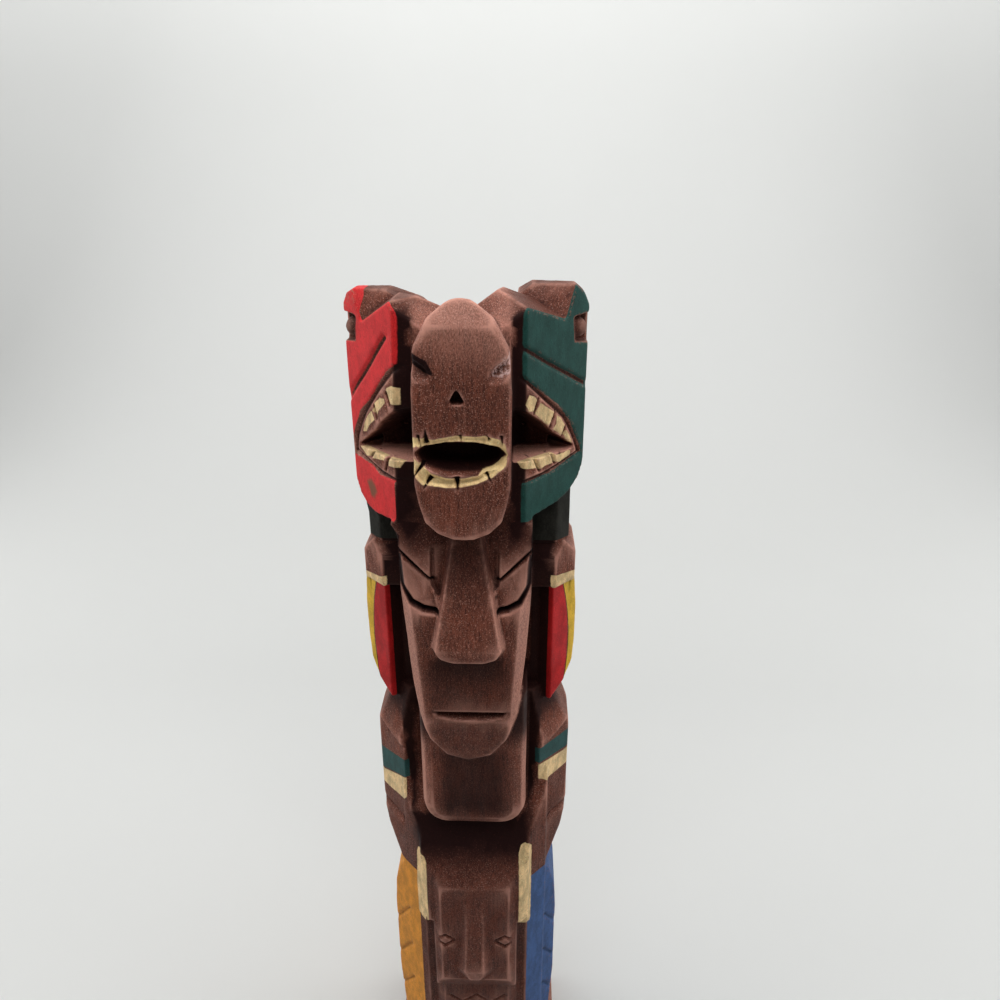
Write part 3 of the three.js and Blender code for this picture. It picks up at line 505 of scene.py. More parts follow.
class Wood:
    """The pole's surface points, in mm."""

    def __init__(self, mesh):
        self.mesh = mesh
        count = len(mesh.vertices)
        flat = np.empty(count * 3)
        mesh.vertices.foreach_get("co", flat)
        self.points = flat.reshape(count, 3)
        links = np.empty(len(mesh.edges) * 2, np.int64)
        mesh.edges.foreach_get("vertices", links)
        self.links = links.reshape(-1, 2)
        self.lay_out()

    def lay_out(self):
        """Where each point lies across, back and down, on the bevels, and past the nearest forms."""
        self.x = self.points[:, 0] - CENTRE[0]
        self.y = self.points[:, 1] - CENTRE[1]
        self.d = CROWN - self.points[:, 2]
        self.wide = np.abs(self.x)
        self.along = (self.wide - BEVEL[0] + self.y - BEVEL[1]) * HALF
        self.proud = (self.wide - BEVEL[0] - self.y + BEVEL[1]) * HALF
        self.off_nose = np.abs(self.x - NOSE_SHIFT)
        self.off_plate = np.abs(self.x - PLATE_SHIFT)
        self.past_cheek = self.wide - np.interp(self.d, *CHEEK_HALF)
        self.past_recess = self.wide - np.interp(self.d, *RECESS_HALF)
        self.past_roof = self.d - ROOF_FOOT - ROOF_DROP * ramp(self.y, *ROOF_BACK)
        self.past_roof -= ROOF_SLOPE * (STRIP_HALF - self.wide)
        self.eye = np.sqrt((self.wide - EYE[0]) ** 2 + (self.y - EYE[1]) ** 2 + (self.d - EYE[2]) ** 2)

    def keep(self):
        """Write the points back to the mesh."""
        self.mesh.vertices.foreach_set("co", self.points.ravel())
        self.mesh.update()
        self.lay_out()

    def zone(self, limits):
        """Share from 0 to 1 of each point inside the soft limits of a zone."""
        share = np.ones(len(self.points))
        for name, edges in limits.items():
            values = getattr(self, name)
            share *= ramp(values, *edges[:2])
            if edges[2:]:
                share *= 1 - ramp(values, *edges[2:])
        return share

    def facing(self):
        """Direction that each point of the surface faces."""
        flat = np.empty(len(self.points) * 3, np.float32)
        self.mesh.vertex_normals.foreach_get("vector", flat)
        return flat.reshape(-1, 3).astype(float)

    def hollow(self, passes):
        """How far in mm each point lies below the wood around it."""
        return np.einsum("ij,ij->i", self.averaged(self.points, passes) - self.points, self.facing())

    def averaged(self, values, passes, share=0.5):
        """Values evened out over the surface; share may differ from point to point."""
        first, second = self.links.T
        count = len(values)
        joined = np.bincount(first, minlength=count) + np.bincount(second, minlength=count)
        columns = values.reshape(count, -1).copy()
        weight = share[:, None] if isinstance(share, np.ndarray) else share
        for _ in range(passes):
            total = np.empty_like(columns)
            for column in range(columns.shape[1]):
                total[:, column] = np.bincount(first, columns[second, column], count)
                total[:, column] += np.bincount(second, columns[first, column], count)
            columns += weight * (total / joined[:, None] - columns)
        return columns.reshape(values.shape)

    def across_plan(self, plan, side):
        """Distance along a bevelled band in plan, and how far a point stands off it."""
        (x0, y0), (x1, y1) = plan
        long = math.hypot(x1 - x0, y1 - y0)
        run, back = (x1 - x0) / long, (y1 - y0) / long
        dx, dy = side * self.x - x0, self.y - y0
        front = dx * run + dy * back
        off = np.abs(dx * back - dy * run)
        # Past the outer edge the band turns back along the side of the pole.
        past = front > long
        front = np.where(past, long + np.maximum(self.y - y1, 0), front)
        off = np.where(past, np.minimum(off, np.abs(side * self.x - x1)), off)
        return front, off


def placed(name, data):
    """A new object in the scene."""
    made = bpy.data.objects.new(name, data)
    bpy.context.scene.collection.objects.link(made)
    return made


def settled(pole):
    """Put what a modifier makes into the mesh itself."""
    bpy.context.view_layer.update()
    shaped = pole.evaluated_get(bpy.context.evaluated_depsgraph_get())
    mesh = bpy.data.meshes.new_from_object(shaped)
    pole.modifiers.clear()
    pole.data = mesh


def even_blank(node, step):
    """An evenly meshed copy of the solid, in mm, ready to carve."""
    mesh = node.data.copy()
    work = bmesh.new()
    work.from_mesh(mesh)
    bmesh.ops.remove_doubles(work, verts=work.verts, dist=WELD)
    bmesh.ops.scale(work, verts=work.verts, vec=Vector((1, 1, 1)) / MM)
    work.to_mesh(mesh)
    work.free()
    mesh.materials.clear()
    pole = placed("carved_pole", mesh)
    even = pole.modifiers.new("Even mesh", "REMESH")
    even.mode = "VOXEL"
    even.voxel_size = step
    even.adaptivity = 0
    settled(pole)
    return pole


def sand(wood, passes):
    """Round the knife edges, then soften the broad forms."""
    wood.points = wood.averaged(wood.points, passes)
    wood.keep()
    soft = either(*(strength * wood.zone(limits) for strength, limits in SANDED.values()))
    wood.points = wood.averaged(wood.points, SANDING_PASSES, 0.5 * soft)
    wood.keep()


def cut_side_heads(wood, depth, inward):
    """Lip lines, cuts between the teeth and cheek lines on the bevels."""
    for side in SIDES:
        on_head = (side * wood.x > 9) & (wood.proud > -2.6) & (wood.d < 62) & (wood.d > 8)
        here = np.where(on_head)[0]
        along, down = wood.along[here], wood.d[here]
        width = LIP_GROOVE_WIDTH[side] * (0.75 + 0.5 * ramp(down, 24, 44))
        push = -0.6 * groove(from_line(LIP_GROOVES[side], along, down), width)
        push -= 0.55 * groove(from_line(LOW_GROOVES[side], along, down), 0.9)
        for line in TOOTH_CUTS[side]:
            push -= depth * groove(from_line(line, along, down), 0.75)
        push -= 0.25 * groove(from_line(CHEEK_CUTS[side], along, down), 1.2)
        inward[here, 0] += side * HALF * push
        inward[here, 1] -= HALF * push


def cut_middle_head(wood, depth, inward):
    """Lip nicks, chips and the slope of the gilded lips on the middle head."""
    here = np.where((wood.y < -29) & (wood.d > 24) & (wood.d < 56))[0]
    across, down = wood.x[here], wood.d[here]
    push = 0.2 * groove(from_line(NOSE_CREASE, across, down), 0.6)
    for line, width in LIP_NICKS:
        push += depth * ramp(wedge(line, width, across, down), -0.3, 0.5)
    for outline, sunk, edge, floor in FRONT_CUTS:
        push += sunk * ramp(inside(outline, across, down), edge, floor)
    inward[here, 1] += push


def cut_eyelids(wood, inward):
    """Brow and lid lines on the human face."""
    on_face = both(-18 - wood.y, wood.y - LID_FRONT, wood.d - 70, 96 - wood.d, 21 - wood.wide)
    here = np.where(on_face > 0)[0]
    across, down = wood.wide[here], wood.d[here]
    inward[here, 1] += 0.8 * groove(from_line(BROW_LINE, across, down), 1)
    inward[here, 1] += 1.2 * groove(from_line(LID_LINE, across, down), 1.2)


def cut_lines(wood, depth):
    """All the knife's lines and nicks, cut into the rounded wood at once."""
    inward = np.zeros_like(wood.points)
    cut_side_heads(wood, depth, inward)
    cut_middle_head(wood, depth, inward)
    cut_eyelids(wood, inward)
    wood.points = wood.points + inward
    wood.keep()


def facet(wood, depth):
    """Leave the broad, shallow facets and the small waver of a hand knife."""
    broad = 0.5 + 0.5 * ripple(wood.points, np.array([11, 11, 19]), 3)
    small = 0.5 + 0.5 * ripple(wood.points, np.array([3.4, 3.4, 6]), 5)
    sunk = depth * (broad + 0.35 * small)
    wood.points = wood.points - wood.facing() * sunk[:, None]
    wood.points = np.clip(wood.points, np.array(LOW) / MM, np.array(HIGH) / MM)
    wood.keep()


def finely_painted(wood):
    """Where the mesh stays fine: along the paints' edges in front, and on the middle head's face."""
    fine = np.zeros(len(wood.points), bool)
    for region in paint_regions(wood).values():
        fine |= np.abs(region) < 0.9
    fine &= (wood.y < 4) & (wood.d < 215)
    return fine | ((wood.y < -26) & (wood.d < 56) & (wood.d > 12))


def thinned(pole, triangles, fine):
    """Fewer triangles where the wood is plain, all of them along the paints' edges."""
    group = pole.vertex_groups.new(name="plain")
    group.add(np.where(~fine)[0].tolist(), 1.0, "REPLACE")
    group.add(np.where(fine)[0].tolist(), 0.6, "REPLACE")
    count = sum(len(face.vertices) - 2 for face in pole.data.polygons)
    fewer = pole.modifiers.new("Fewer triangles", "DECIMATE")
    fewer.ratio = min(1, triangles / count)
    fewer.use_collapse_triangulate = True
    fewer.vertex_group = group.name
    fewer.vertex_group_factor = 0.02
    settled(pole)
    pole.vertex_groups.clear()


def lean_left(wood, lean):
    """Lean the front edge of the left head's bevel outwards, more towards the jaw."""
    growth = np.clip((wood.d - 8) / 47, 0, 1)
    rise = np.clip((wood.wide - 13.6) / 3.8, 0, 1) * (1 - np.clip((wood.wide - 17.4) / 17.6, 0, 1))
    fade = 1 - np.clip((wood.d - 66) / 3, 0, 1)
    amount = lean * (0.4 + 0.6 * growth) * rise * fade
    wood.points[:, 0] -= np.where(wood.x < 0, amount, 0)
    wood.keep()


def side_head_paint(wood, side):
    """The red or green skin of a side head, round its mouth, eye and notch."""
    y, d, wide, along, proud = wood.y, wood.d, wood.wide, wood.along, wood.proud
    start, foot = -0.8, JAW_FOOT[side]
    if side == LEFT:
        start = 1.4 * ramp(d, 10, 40) - 0.8
        foot = foot + 0.1 * np.maximum(along, 0)
    ear = both(wide - EAR_EDGE[side] - 0.25 * np.maximum(d - 3, 0), EAR_FOOT - d, PAINT_BACK - y)
    bevel = both(proud + 0.9, 0.9 - proud, along - start, foot - d)
    skin = either(bevel, both(wide - HEAD_HALF, PAINT_BACK - y), ear)
    mouth = both(inside(MOUTHS[side], along, d), 4 - np.abs(proud))
    notch = both(inside(EYE_NOTCH, wide, d), 1.4 - y)
    return both(skin, HEAD_FOOT - d, -mouth, wood.eye - EYE_RADIUS, -notch, side * wood.x)


def on_arm(wood, outline, side):
    """Distance in mm inside the edge of an arm's paint, given by its outline across the bevel."""
    front, off = wood.across_plan(ARM_PLAN, side)
    return both(inside(outline, front, wood.d), 3 - off, 13 - wood.y, side * wood.x)


def gilding(wood):
    """Dull gold of the teeth, the head bands, the arm bands and the stripes."""
    x, y, d, wide, proud = wood.x, wood.y, wood.d, wood.wide, wood.proud
    places = []
    for side in SIDES:
        near = both(side * x - 8, proud + 2.2, 8 - np.abs(proud))
        places += [both(inside(tooth, wood.along, d), near) for tooth in TEETH[side]]
        front, off = wood.across_plan(BAND_PLAN, side)
        band = inside(BAND_GILDING[side], front, d)
        places.append(both(band, 1.2 - off, 10.5 - y, side * x, BAND_FOOT - d))
        places.append(both(on_arm(wood, ARM_GOLD[side], side), wide - 23.4))
        places.append(both(inside(STRIPES[side], x, d), -10 - y))
    return either(*places)


def feather_paint(wood):
    """Yellow edges and red middles of the feathers."""
    yellow, red = [], []
    for side in SIDES:
        front, off = wood.across_plan(FEATHER_PLAN, side)
        skin = both(2 - off, side * wood.x, wood.d - BAND_FOOT, FEATHER_FOOT - wood.d, wood.wide - 23)
        bow = FEATHER_BOW * ((wood.d - FEATHER_WAIST) / FEATHER_BOW_LENGTH) ** 2
        edge = FEATHER_RED - bow * np.where(wood.d < FEATHER_WAIST, 1, 0.7)
        yellow.append(both(skin, front - edge, 12.6 - front))
        red.append(both(skin, front + 0.4, edge - 0.5 - front))
    return either(*yellow), either(*red)


def paint_regions(wood):
    """Distance in mm inside the edge of every paint, for each point of the surface."""
    x, y, d, wide = wood.x, wood.y, wood.d, wood.wide
    regions = {"red": side_head_paint(wood, LEFT), "green": side_head_paint(wood, RIGHT)}
    regions["gold"] = gilding(wood)
    lips = either(inside(UPPER_LIP, x, d), inside(LOWER_LIP, x, d))
    nicks = nicked(0.8, x, d)
    regions["bright"] = both(lips, -nicks, -28.6 - y)
    # Painted shadow, in the pooled-stain colour, in the left chip, the lip nicks and the brow and lid
    # lines.
    chip = both(either(inside(LEFT_CHIP_DARK, x, d), nicks), -22.8 - y)
    lids = either(0.3 - from_line(BROW_LINE, wide, d), 0.6 - from_line(LID_LINE, wide, d))
    regions["deep"] = either(chip, both(lids, -16.5 - y, y - LID_FRONT, 97 - d, d - 70))
    collar = both(wide - 17.6, 31.9 - wide, y + 10.4, 10.5 - y, 76.3 - d, d - 56)
    regions["charcoal"] = both(collar, -0.5 - wood.proud)
    regions["yellow"], regions["feather"] = feather_paint(wood)
    regions["band"] = both(either(*(on_arm(wood, ARM_GREEN[side], side) for side in SIDES)), wide - 19)
    wing = both(wide - 20.4, d - 209.5, 299 - d, 22 - y, y + 21)
    regions["orange"] = both(wing, -x)
    regions["blue"] = both(wing, x)
    return regions


def side_mouths(wood):
    """Painted shade inside the side heads' mouths."""
    shares = []
    for side in SIDES:
        opening = ramp(inside(CAVITY_EDGE[side], wood.along, wood.d), -1, 0.6)
        shares.append(opening * (side * wood.x > 8) * (wood.d < 46) * ramp(-wood.proud, 1.2, 3))
    return either(*shares)


def front_cuts(wood):
    """Painted shadow in the nicks and the left chip, and painted shade on the rim under the lower lip, on
    the middle head.
    """
    x, d = wood.x, wood.d
    nicks = ramp(nicked(0.9, x, d), -0.25, 0.25)
    chip = ramp(inside(LEFT_CHIP_DARK, x, d), -0.2, 0.25)
    lip = inside(LOWER_LIP, x, d)
    rim = ramp(lip, -1.1, -0.2) * (1 - ramp(lip, -0.1, 0.2)) * ramp(d, 45, 47)
    return either(0.95 * nicks, 0.97 * chip, 0.7 * rim)


def marks(wood):
    """Worn and highlit edges, grime and painted shade in hollows, painted shade and light in zones, dust
    and sheen, and other marks, from 0 to 1.
    """
    x, y, d, wide = wood.x, wood.y, wood.d, wood.wide
    facing = wood.facing()
    near, far = wood.hollow(3), wood.hollow(26)
    # Convex edges and forms come out paler: partly rubbed stain, partly painted highlight.
    worn = wood.averaged(ramp(-near, 0.014, 0.11), 1) + 0.7 * ramp(-far, 0.15, 0.9)
    # Hollows come out darker: partly grime, partly painted shade.
    grime = ramp(near, 0.015, 0.12) + ramp(far, 0.12, 0.9)
    front_face = ramp(-y, 22.5, 24)

    # Painted shade inside the side mouths and in the zones of shade.
    shade = 0.85 * side_mouths(wood) + sum(share * wood.zone(limits) for share, limits in PAINTED_SHADE.values())
    shade = np.clip(shade, 0, 1)
    shade = either(shade, *(share * wood.zone(limits) for share, limits in SHADED.values()))
    # The side mouths' floors face up: their painted shade is lifted and they are painted paler, as if lit.
    upward = ramp(facing[:, 2], 0.35, 0.8)
    ledge = upward * ramp(wide, 12.8, 14) * (d > 38) * (d < 52)
    shade = shade * (1 - 0.95 * ledge)
    grime = grime * (1 - 0.8 * ledge)
    # Painted shade on the roofs, under the plate, on the tucked sliver, in the cuts and along the eyelids.
    roof = ramp(facing[:, 2], 0.25, 0.6) * wood.zone(ROOFS)
    under_plate = ramp(d, 186, 181.5) * ramp(d, 180.3, 181) * (wide < 20) * (y < -8)
    lids = either(0.35 - from_line(BROW_LINE, wide, d), 0.75 - from_line(LID_LINE, wide, d))
    lids = ramp(lids, -0.5, 0.2) * wood.zone(EYELIDS) * (d < 97)
    tucked = wood.zone(TUCKED)
    cuts = front_face * front_cuts(wood)
    shade = either(shade, 0.42 * roof, 0.95 * tucked, 0.8 * under_plate, cuts, 0.95 * lids)

    # Painted light: the paler brow, partly rubbed stain, the highlit rims facing sideways, and the lit
    # mouth floors.
    sloping = d - 0.4 * x + 4 * ripple(wood.points, 11, 8)
    forehead = 0.66 * (1 - ramp(sloping, 4, 22)) * wood.zone(FOREHEAD)
    rims = 0.8 * ramp(np.abs(facing[:, 0]), 0.3, 0.65) * wood.zone(RIMS) * (1 - tucked)
    crown = either(forehead, rims, ledge * ramp(-wood.proud, 0.3, 1.5))
    grime = np.clip(grime, 0, 1)
    middle_mouth = wood.zone(PAINTED_SHADE["middle mouth"][1])
    # Upward faces come out paler: partly dust, partly painted sheen.
    dust = ramp(facing[:, 2], 0.1, 0.75) * (1 - grime) * (1 - middle_mouth) * (1 - shade)
    stain = ramp(inside(OLIVE_STAIN, wood.along, d), -0.8, 0.8) * (wood.proud > -1) * (x < 0)
    pale = front_face * ramp(inside(RIGHT_CHIP, x, d), -0.3, 0.4)
    return {
        "worn": np.clip(worn, 0, 1), "grime": grime, "shade": shade, "crown": crown,
        "dust": dust, "stain": stain, "pale": pale,
    }


def sheltered(pole, wood, reach, rays):
    """Share of the sky that nearby wood hides from each point."""
    tree = BVHTree.FromObject(pole, bpy.context.evaluated_depsgraph_get())
    golden = math.pi * (3 - math.sqrt(5))
    fan = []
    for i in range(rays):
        rise = (i + 0.5) / rays
        spread, angle = math.sqrt(1 - rise * rise), i * golden
        fan.append((spread * math.cos(angle), spread * math.sin(angle), rise))
    hidden = np.zeros(len(pole.data.vertices))
    cast = tree.ray_cast
    for index, vertex in enumerate(pole.data.vertices):
        up = vertex.normal
        side = up.orthogonal().normalized()
        other = up.cross(side)
        start = vertex.co + up * RAY_LIFT
        hits = (cast(start, side * a + other * b + up * c, reach)[0] for a, b, c in fan)
        hidden[index] = sum(hit is not None for hit in hits) / rays
    return wood.averaged(hidden, 2) * (1 - 0.8 * ramp(wood.facing()[:, 2], 0.35, 0.8))


def store(mesh, name, values):
    """Keep one number for each point of the surface."""
    mesh.attributes.new(name, "FLOAT", "POINT").data.foreach_set("value", np.asarray(values, np.float32))


class Finish:
    """A material's nodes, wired up one by one."""

    def __init__(self, name):
        self.material = bpy.data.materials.new(name)
        self.material.use_nodes = True
        self.tree = self.material.node_tree
        self.shader = self.tree.nodes["Principled BSDF"]
        self.place = self.node("ShaderNodeTexCoord").outputs["Object"]

    def node(self, kind, **settings):
        made = self.tree.nodes.new(kind)
        for key, value in settings.items():
            setattr(made, key, value)
        return made

    def feed(self, socket, value):
        """Link a node's output to a socket, or set the socket's own number or colour."""
        if isinstance(value, bpy.types.NodeSocket):
            self.tree.links.new(value, socket)
        elif socket.type == "RGBA" and len(value) == 3:
            socket.default_value = (*value, 1)
        else:
            socket.default_value = value

    def mark(self, name):
        """A number stored on the surface."""
        return self.node("ShaderNodeAttribute", attribute_name=name).outputs["Fac"]

    def noise(self, size, detail=3, rough=0.55, stretch=(1, 1, 1), offset=0):
        """Noise with features of that size in metres, drawn out along an axis by stretch."""
        turned = self.node("ShaderNodeMapping")
        turned.inputs["Scale"].default_value = [1 / (size * s) for s in stretch]
        turned.inputs["Location"].default_value = (offset, offset * 1.7, offset * 0.6)
        self.feed(turned.inputs["Vector"], self.place)
        made = self.node("ShaderNodeTexNoise")
        for name, value in (("Scale", 1), ("Detail", detail), ("Roughness", rough)):
            made.inputs[name].default_value = value
        self.feed(made.inputs["Vector"], turned.outputs["Vector"])
        return made.outputs["Fac"]

    def math(self, operation, first, second=0.0):
        made = self.node("ShaderNodeMath", operation=operation)
        self.feed(made.inputs[0], first)
        self.feed(made.inputs[1], second)
        return made.outputs[0]

    def times(self, first, second):
        return self.math("MULTIPLY", first, second)

    def most(self, first, second):
        return self.math("MAXIMUM", first, second)

    def range(self, value, low, high, start=0.0, end=1.0):
        """A soft step from start to end as the value goes from low to high."""
        made = self.node("ShaderNodeMapRange", interpolation_type="SMOOTHSTEP")
        self.feed(made.inputs["Value"], value)
        for name, number in (("From Min", low), ("From Max", high), ("To Min", start), ("To Max", end)):
            made.inputs[name].default_value = number
        return made.outputs["Result"]

    def mix(self, kind, share, first, second):
        """A blend of two numbers or colours; only the sockets of that kind are in use."""
        made = self.node("ShaderNodeMix", data_type=kind)
        used = [socket for socket in made.inputs if socket.enabled]
        for socket, value in zip(used, (share, first, second)):
            self.feed(socket, value)
        return next(socket for socket in made.outputs if socket.enabled)

    def blend(self, share, first, second):
        return self.mix("RGBA", share, first, second)

    def mean(self, share, first, second):
        return self.mix("FLOAT", share, first, second)


def shifted(colour, red, green=None, blue=None):
    """A colour made lighter or darker, by one factor or by one for each part."""
    factors = (red, red if green is None else green, red if blue is None else blue)
    return tuple(min(1, part * factor) for part, factor in zip(colour, factors))


class Grain:
    """The noises that the stain and every paint share."""

    def __init__(self, f):
        self.broad = f.noise(0.018, 3, 0.6)
        self.blotch = f.noise(0.0055, 4, 0.6, (1, 1, 1.6), 3)
        self.streak = f.noise(0.0006, 4, 0.65, (1, 1, 12), 5)
        self.pore = f.noise(0.00042, 2, 0.7, (1, 1, 2.6), 7)
        self.speck = f.noise(0.00035, 2, 0.5, (1, 1, 1), 9)
        self.fleck = f.noise(0.0003, 4, 0.75, (1, 1, 3), 15)
        self.flat = f.noise(0.003, 3, 0.6, (1, 1, 2), 17)


def stained_wood(f, grain, colours):
    """Bare stained wood: uneven stain, grain, flecks and pores, edges paler as rubbed wood and painted
    highlight, and a little dust and painted sheen.
    """
    wood, worn = tuple(colours.wood), tuple(colours.worn)
    tint = f.blend(f.range(grain.broad, 0.3, 0.72), shifted(wood, 0.72), shifted(wood, 1.3))
    for noise, share, factors in STAINS:
        tint = f.blend(f.range(getattr(grain, noise), *share), tint, shifted(wood, *factors))
    tint = f.blend(f.range(grain.speck, 0.56, 0.7, 0, 0.55), tint, worn)
    # Paler brow, rims and mouth floors: partly rubbed stain, partly painted light.
    tint = f.blend(f.times(f.mark("crown"), f.range(grain.fleck, 0.38, 0.6, 0.35, 0.95)), tint, worn)
    # Edges paler: partly rubbed wood, partly painted highlight.
    rubbed_and_highlit = f.times(f.mark("worn"), f.range(grain.blotch, 0.25, 0.65, 0.55, 1))
    tint = f.blend(f.times(rubbed_and_highlit, 0.95), tint, worn)
    # Upward faces paler: partly dust, partly painted sheen.
    powder_and_sheen = f.times(f.mark("dust"), f.range(grain.broad, 0.3, 0.7, 0, 0.1))
    return f.blend(powder_and_sheen, tint, shifted(worn, 1.1))


def painted_wood(colours):
    """Stained wood with pooled stain and painted shade, then each paint, then dust and painted sheen, and
    chips.
    """
    f = Finish("stained_painted_wood")
    grain = Grain(f)
    wood, deep = tuple(colours.wood), tuple(colours.deep)
    tint = stained_wood(f, grain, colours)
    shelter, grime = f.mark("shelter"), f.mark("grime")
    # Hollows, sky hidden by nearby wood and the zones of shade darken the wood: painted shade, partly
    # pooled stain.
    pooled_stain_and_shade = f.most(f.times(grime, 0.75), f.range(shelter, 0.25, 0.85, 0, 0.8))
    pooled_stain_and_shade = f.most(pooled_stain_and_shade, f.mark("shade"))
    tint = f.blend(pooled_stain_and_shade, tint, f.blend(f.range(grain.speck, 0.6, 0.75, 0, 0.2), deep, shifted(wood, 0.9)))
    # Less gloss where shade is painted and stain pools.
    f.feed(f.shader.inputs["Specular Tint"], f.blend(pooled_stain_and_shade, (1, 1, 1), STAIN_AND_SHADE_GLOSS))
    rough = f.range(grain.blotch, 0.3, 0.7, 0.58, 0.78)
    metal = 0.0
    wobble = f.times(f.math("SUBTRACT", f.noise(0.0016, 3, 0.6, offset=11), 0.5), EDGE_WOBBLE)
    chip = f.times(f.mark("worn"), f.range(f.noise(0.0011, 3, 0.7, offset=13), 0.5, 0.62))
    unchipped = f.math("SUBTRACT", 1.0, f.times(chip, 0.6))
    for name, (dark, paint_rough, paint_metal, hollow) in PAINTS.items():
        base = tuple(getattr(colours, name))
        share = f.range(f.math("ADD", f.mark("in_" + name), wobble), -EDGE_BLUR, EDGE_BLUR)
        share = f.times(share, unchipped)
        paint = f.blend(f.range(grain.flat, 0.3, 0.7), shifted(base, dark), shifted(base, 1.12))
        paint = f.blend(f.range(grain.speck, 0.56, 0.7, 0, 0.45), paint, shifted(base, 1.8))
        paint = f.blend(f.times(f.range(grain.pore, 0.3, 0.46, 1, 0), 0.5), paint, shifted(base, 0.45))
        # Paint darkens in hollows and sheltered spots: partly soiling, partly painted shade.
        soiled_and_shaded = f.times(f.most(grime, f.range(shelter, 0.3, 0.8, 0, 0.6)), hollow)
        paint = f.blend(soiled_and_shaded, paint, shifted(base, 0.3))
        tint = f.blend(share, tint, paint)
        rough = f.mean(share, rough, paint_rough)
        if paint_metal:
            metal = f.most(metal, f.times(share, paint_metal))
    splinter = f.range(f.noise(0.0009, 3, 0.7, (1, 1, 1.5), 21), 0.42, 0.6)
    tint = f.blend(f.times(f.mark("pale"), splinter), tint, tuple(colours.split))
    tint = f.blend(f.times(f.mark("stain"), 0.8), tint, tuple(colours.olive))
    dusted = f.times(f.mark("dust"), f.range(grain.speck, 0.55, 0.75, 0, 0.3))
    tint = f.blend(dusted, tint, tuple(colours.dust))
    for name, value in (("Base Color", tint), ("Roughness", rough), ("Metallic", metal)):
        f.feed(f.shader.inputs[name], value)
    f.shader.inputs["Specular IOR Level"].default_value = 0.2
    height = f.math("ADD", f.times(grain.streak, 0.5), f.times(grain.pore, 0.6))
    height = f.math("ADD", height, f.times(grain.speck, 0.35))
    bump = f.node("ShaderNodeBump")
    bump.inputs["Strength"].default_value = 0.5
    bump.inputs["Distance"].default_value = 0.00012
    f.feed(bump.inputs["Height"], height)
    f.feed(f.shader.inputs["Normal"], bump.outputs["Normal"])
    return f.material


class TOTEM_OT_pole(bpy.types.Operator):
    """Carve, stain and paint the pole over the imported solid"""

    bl_idname = "totem.pole"
    bl_label = "Carve and paint the pole"

    def execute(self, context):
        sizes = context.scene.totem.carving
        step = sizes.step / MM * 1
        pole = even_blank(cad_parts[NODE], step)
        wood = Wood(pole.data)
        sand(wood, sizes.rounding)
        cut_lines(wood, sizes.nicks / MM)
        facet(wood, sizes.facets / MM)
        thinned(pole, sizes.triangles, finely_painted(wood))
        wood = Wood(pole.data)
        kept = {"in_" + name: values for name, values in paint_regions(wood).items()}
        kept.update(marks(wood))
        # The share of hidden sky, used for painted shade in hollows.
        kept["shelter"] = sheltered(pole, wood, RAY_REACH, 14)
        lean_left(wood, sizes.lean / MM)
        for name, values in kept.items():
            store(pole.data, name, values)
        wood.points *= MM
        pole.data.vertices.foreach_set("co", wood.points.ravel())
        pole.data.polygons.foreach_set("use_smooth", [True] * len(pole.data.polygons))
        pole.data.update()
        pole.data.materials.append(painted_wood(context.scene.totem.paint))
        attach(pole, "root")
        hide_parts(NODE)
        return {"FINISHED"}


def sweep(width, front, bend, back, height):
    """A floor that curves up into a wall, as one smooth sheet."""
    profile = [(front, 0), (bend, 0)]
    rise = back - bend
    for i in range(1, SWEEP_STEPS + 1):
        angle = i / SWEEP_STEPS * math.pi / 2
        profile.append((bend + rise * math.sin(angle), rise * (1 - math.cos(angle))))
    profile.append((back, height))
    mesh = bpy.data.meshes.new("studio_sweep")
    corners = [(side * width, y, z) for y, z in profile for side in SIDES]
    faces = [(2 * i, 2 * i + 1, 2 * i + 3, 2 * i + 2) for i in range(len(profile) - 1)]
    mesh.from_pydata(corners, [], faces)
    mesh.polygons.foreach_set("use_smooth", [True] * len(faces))
    return placed("studio_sweep", mesh)


def paper(colour):
    """Matte backdrop paper with a faint unevenness."""
    f = Finish("backdrop_paper")
    cloud = f.noise(0.35, 2, 0.5)
    f.feed(f.shader.inputs["Base Color"], f.blend(f.range(cloud, 0.3, 0.7), shifted(colour, 0.985), colour))
    f.shader.inputs["Roughness"].default_value = 0.85
    f.shader.inputs["Specular IOR Level"].default_value = 0.2
    return f.material


def soft_light(name, place, aim, size, watts):
    """A rectangular soft light that points at a spot."""
    lamp = bpy.data.lights.new(name, "AREA")
    lamp.shape = "RECTANGLE"
    lamp.size, lamp.size_y = size
    lamp.energy = watts
    made = placed(name, lamp)
    made.location = place
    made.rotation_euler = (Vector(aim) - Vector(place)).to_track_quat("-Z", "Y").to_euler()


def set_lights(sizes):
    """The soft lights, in an evenly lit room."""
    for name, place, aim, size, watts in LIGHTS:
        soft_light(name, place, aim, size, getattr(sizes, watts))
    world = bpy.data.worlds.new("even_room")
    world.use_nodes = True
    glow = world.node_tree.nodes["Background"].inputs
    glow["Color"].default_value = (1, 1, 1, 1)
    glow["Strength"].default_value = sizes.room
    bpy.context.scene.world = world


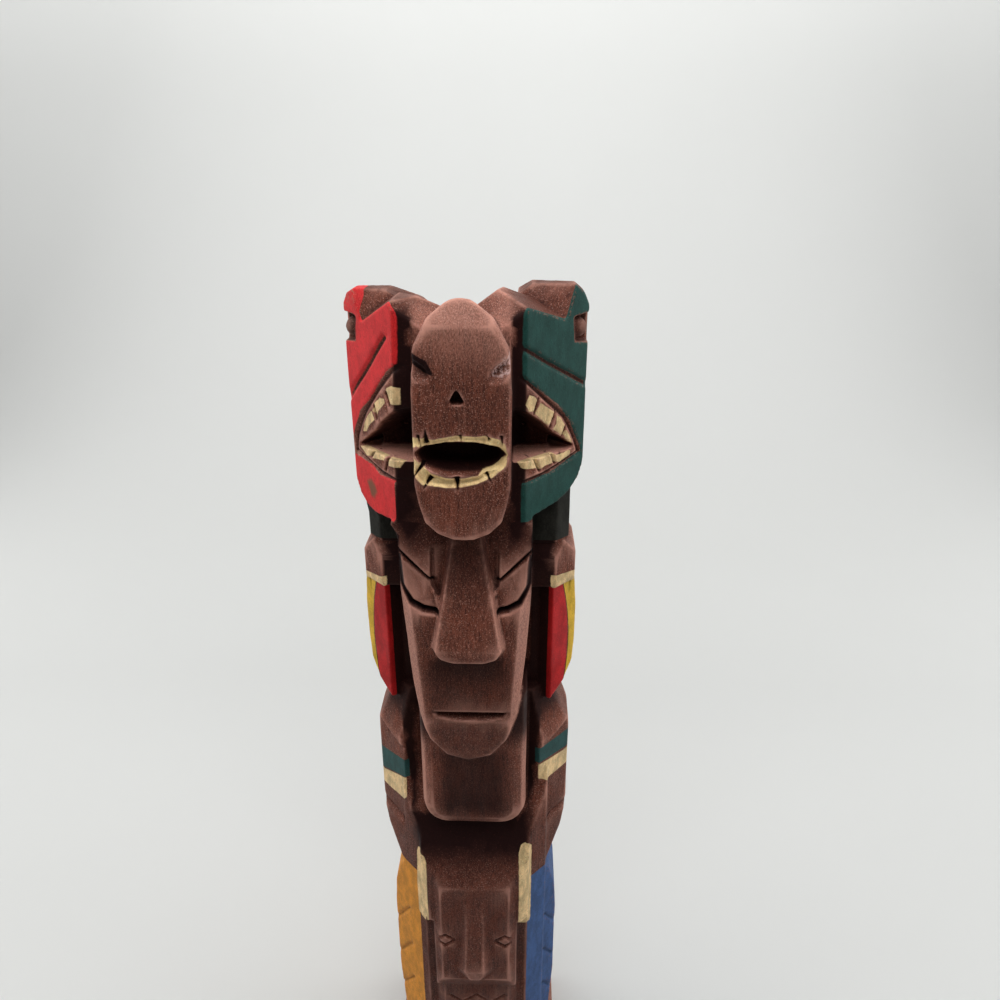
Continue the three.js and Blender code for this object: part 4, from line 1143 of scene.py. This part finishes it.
def set_camera(sizes):
    """The camera in front of the heads, looking down."""
    camera = placed("camera", bpy.data.cameras.new("camera"))
    camera.data.lens = sizes.lens
    camera.data.sensor_width = 36
    camera.data.clip_start = 0.01
    camera.data.dof.use_dof = False
    across, ahead = math.cos(sizes.heading), math.sin(sizes.heading)
    camera.location = (
        CENTRE[0] * MM + sizes.aside * across + sizes.distance * ahead,
        CENTRE[1] * MM + sizes.aside * ahead - sizes.distance * across,
        CROWN * MM + sizes.above,
    )
    camera.rotation_euler = (math.pi / 2 - sizes.tilt, 0, sizes.heading)
    bpy.context.scene.camera = camera


class TOTEM_OT_stage(bpy.types.Operator):
    """Set the floor, the backdrop, the soft lights and the camera"""

    bl_idname = "totem.stage"
    bl_label = "Set the stage"

    def execute(self, context):
        sizes = context.scene.totem.stage
        context.scene.view_settings.view_transform = "Standard"
        floor = sweep(width=2.2, front=-1.6, bend=0.5, back=1, height=1.9)
        floor.data.materials.append(paper(tuple(sizes.paper)))
        set_lights(sizes)
        set_camera(sizes)
        return {"FINISHED"}


class TOTEM_PT_sidebar(bpy.types.Panel):
    """Sizes, colours and steps of the totem pole"""

    bl_idname = "TOTEM_PT_sidebar"
    bl_label = "Totem pole"
    bl_space_type = "VIEW_3D"
    bl_region_type = "UI"
    bl_category = "Totem pole"

    def draw(self, context):
        settings = context.scene.totem
        for title, group, operator in (
            ("Carving", settings.carving, None),
            ("Stain and paint", settings.paint, TOTEM_OT_pole),
            ("Stage", settings.stage, TOTEM_OT_stage),
        ):
            box = self.layout.box()
            box.label(text=title)
            for name in group.bl_rna.properties.keys():
                if name not in ("rna_type", "name"):
                    box.prop(group, name)
            if operator:
                box.operator(operator.bl_idname)


CLASSES = (
    CarvingSizes, PaintColours, StageSizes, TotemSettings, TOTEM_OT_pole, TOTEM_OT_stage, TOTEM_PT_sidebar,
)


def register():
    for cls in CLASSES:
        bpy.utils.register_class(cls)
    bpy.types.Scene.totem = PointerProperty(type=TotemSettings)


def unregister():
    del bpy.types.Scene.totem
    for cls in reversed(CLASSES):
        bpy.utils.unregister_class(cls)


def main():
    register()
    bpy.ops.totem.stage()
    bpy.ops.totem.pole()


if __name__ == "__main__":
    main()
